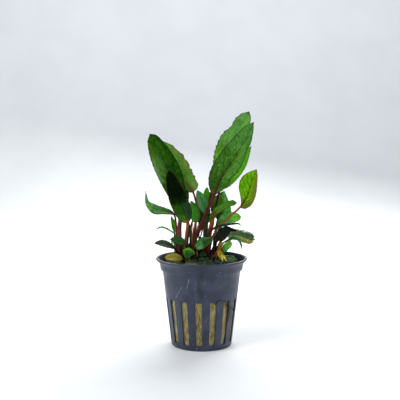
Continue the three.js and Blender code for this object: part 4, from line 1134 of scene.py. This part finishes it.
def make_moss_strands(rng):
    """Short threads of moss and algae in tufts: dark ones everywhere and bright ones in patches."""
    paths = {kind: [] for kind in MOSS_COLOURS}
    edge = MOSS_RADIUS - 0.8
    while len(paths["dark"]) < DARK_STRANDS:
        radius = edge * math.sqrt(rng.random())
        angle = rng.uniform(0, 2 * math.pi)
        spot = Vector(around(radius, angle, moss_height(radius, angle) - 0.3))
        tuft = noise.noise(Vector((spot.x, spot.y, 5)) * 0.28)
        kind = "dark"
        if tuft > 0.12 and rng.random() < 0.75:
            kind = "bright"
        elif tuft < -0.25 and rng.random() < 0.5:
            kind = "brown"
        # Painted light: the olive strands at the front left are lighter, where the rim shades the moss.
        if spot.y < FRONT_MOSS and rng.random() < 0.75:
            kind = "olive" if spot.x < -3 else "blue"
        length = rng.uniform(0.8, 2.2) * (1.5 if kind == "bright" else 1)
        rise = rng.uniform(0.2, 1.0)
        width = 0.14 if kind == "bright" else 0.1
        paths[kind].append(strand(spot, rng.uniform(0, 2 * math.pi), length, rise, rng, width))
    for _ in range(EDGE_STRANDS):
        angle = rng.uniform(-0.5, 0.7)
        radius = rng.uniform(16.5, edge)
        spot = Vector(around(radius, angle, moss_height(radius, angle) - 0.2))
        lean = rng.uniform(0, 2 * math.pi)
        paths["bright"].append(strand(spot, lean, rng.uniform(1.5, 3), rng.uniform(0.6, 1.2), rng, 0.16))
    for points in FRONDS:
        paths["frond"] += frond(points, rng)
    for kind, colours in MOSS_COLOURS.items():
        tube_piece("moss_strands_" + kind, paths[kind], 3, *colours, "moss", "moss_" + kind)


def make_algae(leaf, rng):
    """Threads of algae on the old leaf, longest at its margins and pale on its right half."""
    share, across = (leaf.data.attributes[key].data for key in ("share", "across"))
    spots = [v for v in leaf.data.vertices if share[v.index].value > 0.25]
    paths = {"dark": [], "pale": []}
    for _ in range(ALGAE_TRIES):
        vertex = rng.choice(spots)
        beside = across[vertex.index].value
        ragged = abs(beside) > 0.8
        if not ragged and rng.random() < 0.6:
            continue
        length = rng.uniform(0.5, 3.2) if ragged else rng.uniform(0.4, 1.2)
        lean = rng.uniform(0, 2 * math.pi)
        kind = "pale" if beside > 0.2 else "dark"
        paths[kind].append(strand(vertex.co / MM, lean, length, rng.uniform(0, 1.3), rng, 0.09))
    colours = {"dark": ((62, 96, 62), (140, 164, 118)), "pale": ((156, 158, 90), (230, 226, 146))}
    for kind, pair in colours.items():
        tube_piece("algae_threads_" + kind, paths[kind], 3, *pair, "leaf_old", "algae_" + kind)


# Old stalks and roots

# Stalks that lost their blades, and new leaves still rolled up, by colour: each one's foot and top
# radius, where it stands at the height STALK_FOOT, and its further points.
STALK_FOOT = 49
OLD_STALKS = {
    "dark": ((22, 15, 12), (52, 34, 24), [
        (0.55, 0.3, [(-12.1, 3), (-12.9, 3.3, 57.7), (-13.3, 3.7, 64), (-13.5, 4, 70.3)]),
        (0.6, 0.4, [(-8.3, -1), (-8.3, -1, 55.5), (-7.4, -1, 63), (-7.5, -1, 70.4)]),
        (0.6, 0.4, [(-6.9, 1), (-6.7, 1, 55.2), (-6.4, 1, 62.1), (-6.2, 1, 69)]),
        (1, 0.5, [(-7.2, -3), (-7.4, -2.5, 54), (-7.1, -2, 58.5)]),
        (1.1, 0.5, [(-6.3, -2), (-6.1, -1.5, 54.5), (-5.7, -1, 60.1)]),
        (0.65, 0.4, [(-2, 2), (-1.5, 2.3, 57.9), (0, 2.7, 63.6), (1.1, 3, 68.7)]),
        (0.6, 0.4, [(-2.6, -3), (-2.6, -2.5, 54.6), (-2, -2, 60.3)]),
        (1.1, 0.6, [(3.1, 0), (3.1, 0, 54.2), (3.1, 0, 60)]),
        (0.9, 0.6, [(-2.4, 1), (-2.4, 1, 54.6), (-2.2, 1, 59.8)]),
        (0.8, 0.5, [(-8.9, 2), (-8.9, 2, 55), (-8.8, 2, 59.7)])]),
    "dark_red": ((48, 16, 14), (104, 42, 34), [
        (0.9, 0.5, [(-10.4, 0), (-10.9, 0, 55.4), (-11.3, 0, 60)]),
        (0.8, 0.5, [(-10.9, 2), (-10.6, 2, 53.9), (-10, 2, 59.1)]),
        (1, 0.5, [(-4.9, 0), (-4.8, 0.5, 54.1), (-4.3, 1, 59.8)]),
        (1, 0.6, [(-0.9, -1), (-0.9, -1, 54.4), (-0.3, -1, 59.5)]),
        (0.9, 0.5, [(3.6, -3), (3.9, -3, 54.7), (4.5, -3, 60.4)]),
        (0.9, 0.6, [(-3.7, -1), (-3.7, -1, 56.1), (-3.5, -1, 61.3)]),
        (0.8, 0.6, [(2.2, 1), (2.2, 1, 55.2), (2.4, 1, 60.4)]),
        (0.5, 0.35, [(-11.8, 1), (-12, 1, 58.7), (-12.1, 1, 65.6), (-12.3, 1, 72.4)])]),
    "red_brown": ((80, 38, 28), (148, 84, 62), [
        (0.5, 0.35, [(-13.1, -1), (-13.8, -0.7, 60.1), (-14.2, -0.3, 65.7), (-14.4, 0, 72)]),
        (1, 0.6, [(1.4, -2), (1.4, -2, 54.5), (1.4, -2, 60.3)]),
        (0.6, 0.45, [(-3.8, 1.5), (-3.2, 1.5, 59.7), (-2.3, 1.5, 65.5), (-1.8, 1.5, 70.1)]),
        (0.9, 0.6, [(0.4, 1), (0.4, 1, 55.2), (0.8, 1, 60.4)])]),
    "orange": ((128, 60, 38), (186, 110, 74), [
        (0.5, 0.35, [(-5.8, 3), (-5.8, 3, 54.9), (-4.9, 3, 61.8), (-5.1, 3, 69.9)]),
        (0.65, 0.45, [(-4.9, 4), (-4.9, 4, 53.5), (-4.1, 4, 59.4), (-3.3, 4, 64), (-2.8, 4, 70.9)]),
        (0.5, 0.4, [(-5.5, 2), (-5.1, 2, 57.3), (-4.4, 2, 64.3), (-4, 2, 70)]),
        (0.35, 0.25, [(-2.4, -6), (-2.4, -6, 52.4), (-2.6, -6, 54.6)])]),
    "green": ((40, 66, 28), (86, 124, 54), [
        (0.35, 0.2, [(-6.6, 1), (-6.8, 1, 56.9), (-6.8, 1, 63.8)]),
        (0.35, 0.2, [(2, 5), (2.5, 5, 65.6), (2.8, 5, 71.4)])]),
}
# Roots that leave a wall slot, lie on the pot and go into a slot again.
ROOTS = [
    [(7.2, -17.8, 26.8), (8, -18.7, 27.7), (9.2, -18.8, 28.9), (10.6, -18, 29.2), (12.6, -16.5, 28),
        (14.9, -14, 26), (16.4, -11.7, 23.2), (18.1, -8.9, 21.7), (17.6, -7.3, 21)],
    [(13.6, -13.2, 26), (15, -13.7, 24.3), (15.3, -13.1, 20.5), (14.6, -13.2, 16.6), (13.4, -12.6, 14)],
]
# The two points that the withered leaf's end splits into.
FORK = [
    [(11.2, -14, 53.2), (11.4, -15.6, 51.9), (11.4, -17.2, 50.8)],
    [(12, -14.4, 52.8), (13, -16, 51.8), (13.9, -17.4, 51)],
]


def stalk_path(foot, top, points):
    """A stalk that narrows to a blunt end, as a path for tubes."""
    def radius(t):
        return (foot + (top - foot) * min(1, 1.6 * t)) * min(1, 0.15 + 4 * (1 - t))
    return MiddleLine([(*points[0], STALK_FOOT), *points[1:]]).path(14, radius)


def make_stalks_and_roots():
    for kind, (dark, light, stalks) in OLD_STALKS.items():
        paths = [stalk_path(*stalk) for stalk in stalks]
        tube_piece("old_stalks_" + kind, paths, 8, dark, light, "leaf_old", "stalk_" + kind)
    paths = [MiddleLine(points).path(40, lambda t: 0.3 - 0.1 * t) for points in ROOTS]
    tube_piece("wall_roots", paths, 6, (20, 17, 14), (56, 44, 30), "leaf_old", "root")
    paths = [MiddleLine(points).path(10, lambda t: 0.85 - 0.75 * t) for points in FORK]
    tube_piece("withered_fork", paths, 8, (176, 152, 40), (214, 198, 66), "leaf_dead", "withered_end")


# Stage

def make_stage():
    g = Graph("paper_sweep")
    colour = g.mix(g.step(g.noise(60, detail=2), 0.3, 0.7), (232, 235, 238), (236, 239, 242))
    material = g.finish(g.surface(colour, 0.9))
    half, front, back, bend, top = 900, -900, 500, 300, 1300
    bends = [math.pi / 2 * k / 16 for k in range(1, 17)]
    profile = [(front, 0), (back, 0)]
    profile += [(back + bend * math.sin(a), bend * (1 - math.cos(a))) for a in bends]
    profile.append((back + bend, top))
    vertices = [(x, y, z) for y, z in profile for x in (-half, half)]
    faces = [(2 * i, 2 * i + 1, 2 * i + 3, 2 * i + 2) for i in range(len(profile) - 1)]
    sweep = link("floor_sweep", new_mesh("floor_sweep", vertices, faces, material))


def make_light(name, place, size, power, colour=(1, 1, 1)):
    light = bpy.data.lights.new(name, "AREA")
    light.shape = "RECTANGLE"
    light.size, light.size_y = (s * MM for s in size)
    light.energy = power
    light.color = colour
    lamp = link(name, light)
    lamp.location = Vector(place) * MM
    lamp.rotation_euler = (CAMERA_TARGET - Vector(place)).to_track_quat("-Z", "Y").to_euler()
    return lamp


def make_lights():
    make_light("key", (-500, -300, 560), (420, 420), 3.8)
    make_light("fill", (580, -320, 260), (500, 500), 1.3, (0.96, 0.98, 1))
    make_light("back", (120, 420, 420), (600, 400), 4.2, (1, 1, 0.97))
    wall = make_light("wall", (0, 250, 520), (1200, 160), 1.2)
    wall.rotation_euler = (math.radians(75), 0, 0)
    world = bpy.data.worlds.new("pale_room")
    bpy.context.scene.world = world
    world.use_nodes = True
    background = world.node_tree.nodes["Background"]
    background.inputs["Color"].default_value = (0.9, 0.94, 1, 1)
    background.inputs["Strength"].default_value = 0.3


def make_camera():
    data = bpy.data.cameras.new("camera")
    data.sensor_width = SENSOR
    data.lens = LENS
    camera = link("camera", data)
    back = Vector((0, -math.cos(CAMERA_TILT), math.sin(CAMERA_TILT)))
    camera.location = (CAMERA_TARGET + back * CAMERA_DISTANCE) * MM
    camera.rotation_euler = (math.pi / 2 - CAMERA_TILT, 0, 0)
    bpy.context.scene.camera = camera


def main():
    rng = random.Random(SEED)
    make_camera()
    make_stage()
    make_lights()
    bpy.context.scene.view_settings.view_transform = "Standard"
    skins = {name: leaf_material("leaf_" + name, **look) for name, look in LOOKS.items()}
    leaves = {name: leaf_piece(name, leaf, skins, "leaf_" + name) for name, leaf in LEAVES.items()}
    for name, leaf in SMALL_BLADES.items():
        leaf_piece(name, leaf, skins)
    make_algae(leaves["old_algae"], rng)
    make_stalks_and_roots()
    make_pot()
    make_wool()
    make_wool_fibres(rng)
    make_moss()
    make_moss_strands(rng)


main()
